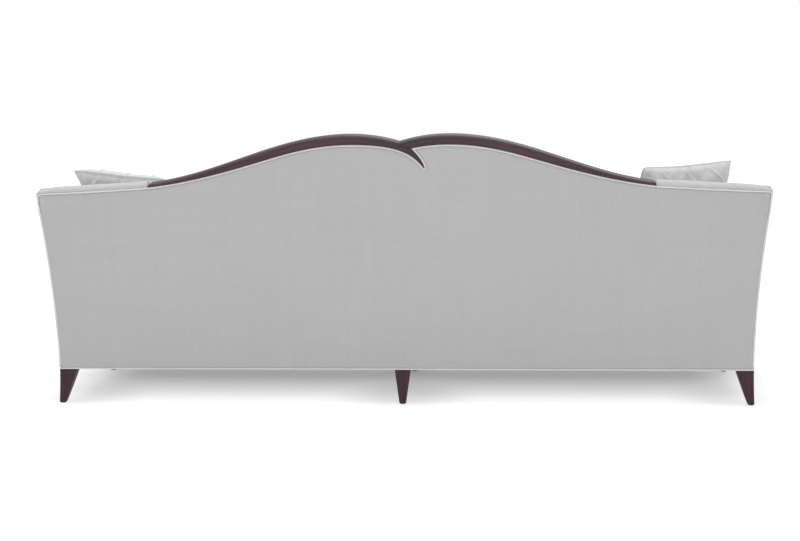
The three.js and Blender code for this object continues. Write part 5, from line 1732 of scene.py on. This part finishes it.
def stand_pillow(mesh, sign, pose):
    """Turns the pillow into its corner, leans it back and sets it down on the seat cushion.

    Its upper part bends back over the top of the back pad.
    """
    turn, lean, bend, slump = pose["turn"], pose["lean"], pose["bend"], pose["slump"]
    across = Vector((math.cos(turn), -math.sin(turn), 0))
    backwards = Vector((math.sin(turn), math.cos(turn), 0)) * math.sin(lean)
    upwards = backwards + Vector((0, 0, math.cos(lean)))
    normal = across.cross(upwards)
    tilting = Matrix.Rotation(pose["tilt"], 3, normal)
    across, upwards = tilting @ across, tilting @ upwards
    corner = (CUSHION_OUTER - pose["inset"], BACK_LINE - pose["setback"], CUSHION_TOP + pose["rise"])
    spots = taken(mesh.vertices, "co")
    u, v = spots[:, 0] / PILLOW_SIDE + 0.5, spots[:, 1] / PILLOW_SIDE + 0.5
    past = np.clip(v - 1 + PILLOW_BEND_SHARE, 0, None)
    curl = past * bend / PILLOW_BEND_SHARE
    rise = v - past + past * np.sinc(curl / math.pi)
    back = past * (1 - np.cos(curl)) / np.maximum(curl, 1e-6)
    rise += spots[:, 2] * np.sin(curl) / (PILLOW_SIDE * slump)
    thick = spots[:, 2] * np.cos(curl) - back * PILLOW_SIDE * slump
    placed = np.array(corner) + np.outer(thick, normal)
    placed += np.outer(u * PILLOW_SIDE, across) + np.outer(rise * PILLOW_SIDE * slump, upwards)
    placed[:, 0] += pose["spill"] * np.clip(u, 0, None) ** 2 * (past / PILLOW_BEND_SHARE) ** 1.5
    placed[:, 0] *= sign
    put(mesh, placed)
    if sign < 0:
        mesh.flip_normals()


# The frame inside


FRAME_FINISHES = {
    "seat_springs": SPRING_WIRE,
    "side_rail": DEEP_BOARD,
    "stretcher": DEEP_BOARD,
    "arm_lower": DEEP_BOARD,
    "arm_top": DEEP_BOARD,
    "post": POST_BOARD,
    "upright": POST_BOARD,
}


def finish_frame():
    """Gives the frame's boards and springs their finishes."""
    for name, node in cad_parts.items():
        fitting = [finish for word, finish in FRAME_FINISHES.items() if word in name]
        node.data.materials.clear()
        node.data.materials.append((fitting + [LONG_BOARD])[0])


# Camera, floor and light


def stand_camera():
    camera = bpy.data.cameras.new("camera")
    camera.lens = CAMERA_LENS
    camera.sensor_width = 36
    camera.clip_end = 60
    stand = bpy.data.objects.new("camera", camera)
    bpy.context.scene.collection.objects.link(stand)
    sin_a, cos_a = math.sin(CAMERA_AZIMUTH), math.cos(CAMERA_AZIMUTH)
    sin_p, cos_p = math.sin(CAMERA_PITCH), math.cos(CAMERA_PITCH)
    x, y = CAMERA_SIDE - CAMERA_DISTANCE * sin_a, BACK_LINE + CAMERA_DISTANCE * cos_a
    forward = Vector((sin_a * cos_p, -cos_a * cos_p, -sin_p))
    right = Vector((-cos_a, -sin_a, 0))
    above = right.cross(forward)
    c, s = math.cos(CAMERA_ROLL), math.sin(CAMERA_ROLL)
    axes = Matrix((right * c + above * s, above * c - right * s, -forward))
    stand.matrix_world = axes.transposed().to_4x4()
    stand.location = (x, y, CAMERA_HEIGHT)
    bpy.context.scene.camera = stand


def floor_finish():
    """White paper where the camera looks at it, with the sofa's real shadow kept and a painted shadow added.

    The paper's glow is painted darker under the seat and round the legs' feet: a painted shadow where the
    studio's light reaches least.
    """
    finish = Finish("floor")
    camera_ray = finish.node("LightPath", output=0)
    glossy_ray = finish.node("LightPath", output=3)
    seen = camera_ray.larger(glossy_ray)
    x, y, _ = finish.place()
    beside = (abs(x) - SHADE_WIDTH).larger(0.0) * SHADE_SIDE_FALL
    along = (y - SHADE_REAR).larger((SHADE_FRONT - y) * SHADE_FRONT_FALL).larger(0.0)
    spread = (beside * beside + along * along) ** 0.5
    paper = finish.node("BsdfDiffuse", None, {"Color": finish.blend(PLAIN_PAPER, SEEN_PAPER, seen)})
    # Painted shadow: the glow is darker under the sofa and round the feet of the legs.
    from_leg = abs(abs(abs(x) - LEG_PITCH / 2) - LEG_PITCH / 2)
    foot = (from_leg * from_leg + (y - LEG_SHADE_LINE) * (y - LEG_SHADE_LINE) * 0.4) ** 0.5
    open_floor = (spread * (1 / SHADE_RANGE)).smaller(1.0)
    lit = open_floor * (foot.between(*LEG_SHADE_RANGE) * LEG_SHADE + (1 - LEG_SHADE))
    colour = finish.blend(SHADED_PAPER, LIT_PAPER, lit)
    glow = finish.node("Emission", None, {"Color": colour, "Strength": seen})
    both = finish.node("AddShader", None, {0: paper, 1: glow})
    finish.node("OutputMaterial", None, {"Surface": both})
    return finish.material


def lay_floor():
    corners = [Vector((x, y, 0)) * FLOOR_REACH for x, y in ((-1, -1), (1, -1), (1, 1), (-1, 1))]
    link("floor", corners, [(0, 1, 2, 3)], floor_finish(), smooth=False)


def light_room():
    room = Finish("room", bpy.data.worlds)
    bpy.context.scene.world = room.material
    strength = room.node("LightPath", output=0) * (1 - ROOM_LIGHT) + ROOM_LIGHT
    sky = room.node("Background", None, {"Color": (1, 1, 1, 1), "Strength": strength})
    room.node("OutputWorld", None, {"Surface": sky})


def soft_box(name, place, aim, width, height, watts):
    lamp = bpy.data.lights.new(name, "AREA")
    lamp.shape = "RECTANGLE"
    lamp.size = width
    lamp.size_y = height
    lamp.energy = watts
    stand = bpy.data.objects.new(name, lamp)
    bpy.context.scene.collection.objects.link(stand)
    stand.location = place
    stand.rotation_euler = (aim - place).to_track_quat("-Z", "Y").to_euler()


bpy.context.scene.view_settings.view_transform = "Standard"
stand_camera()
lay_floor()
light_room()
soft_box("overhead_light", Vector((0, 0.4, 4.0)), Vector((0, 0.1, 0)), 5.0, 3.0, 75)
soft_box("back_light", Vector((0, 4.0, 2.1)), Vector((0, 0.3, 0.4)), 2.2, 1.4, 19)
soft_box("front_light", Vector((-0.8, -4.0, 3.4)), Vector((0, -0.2, 0.4)), 3.0, 2.0, 25)

outside_back()
back_piping()
left_rail()
right_rail()
for side, sign in (("left", 1), ("right", -1)):
    back_roll(side, sign)
    outside_arm(side, sign)
    inside_arm(side, sign)
    arm_roll(side, sign)
    arm_front(side, sign)
inside_back()
front_border()
seat_deck()
bottom_piping()
back_webbing()
dust_cover()
for side, sign, pose in (("left", 1, LEFT_PILLOW), ("right", -1, RIGHT_PILLOW)):
    seat_cushion(side, sign)
    throw_pillow(side, sign, pose)
legs()
finish_frame()
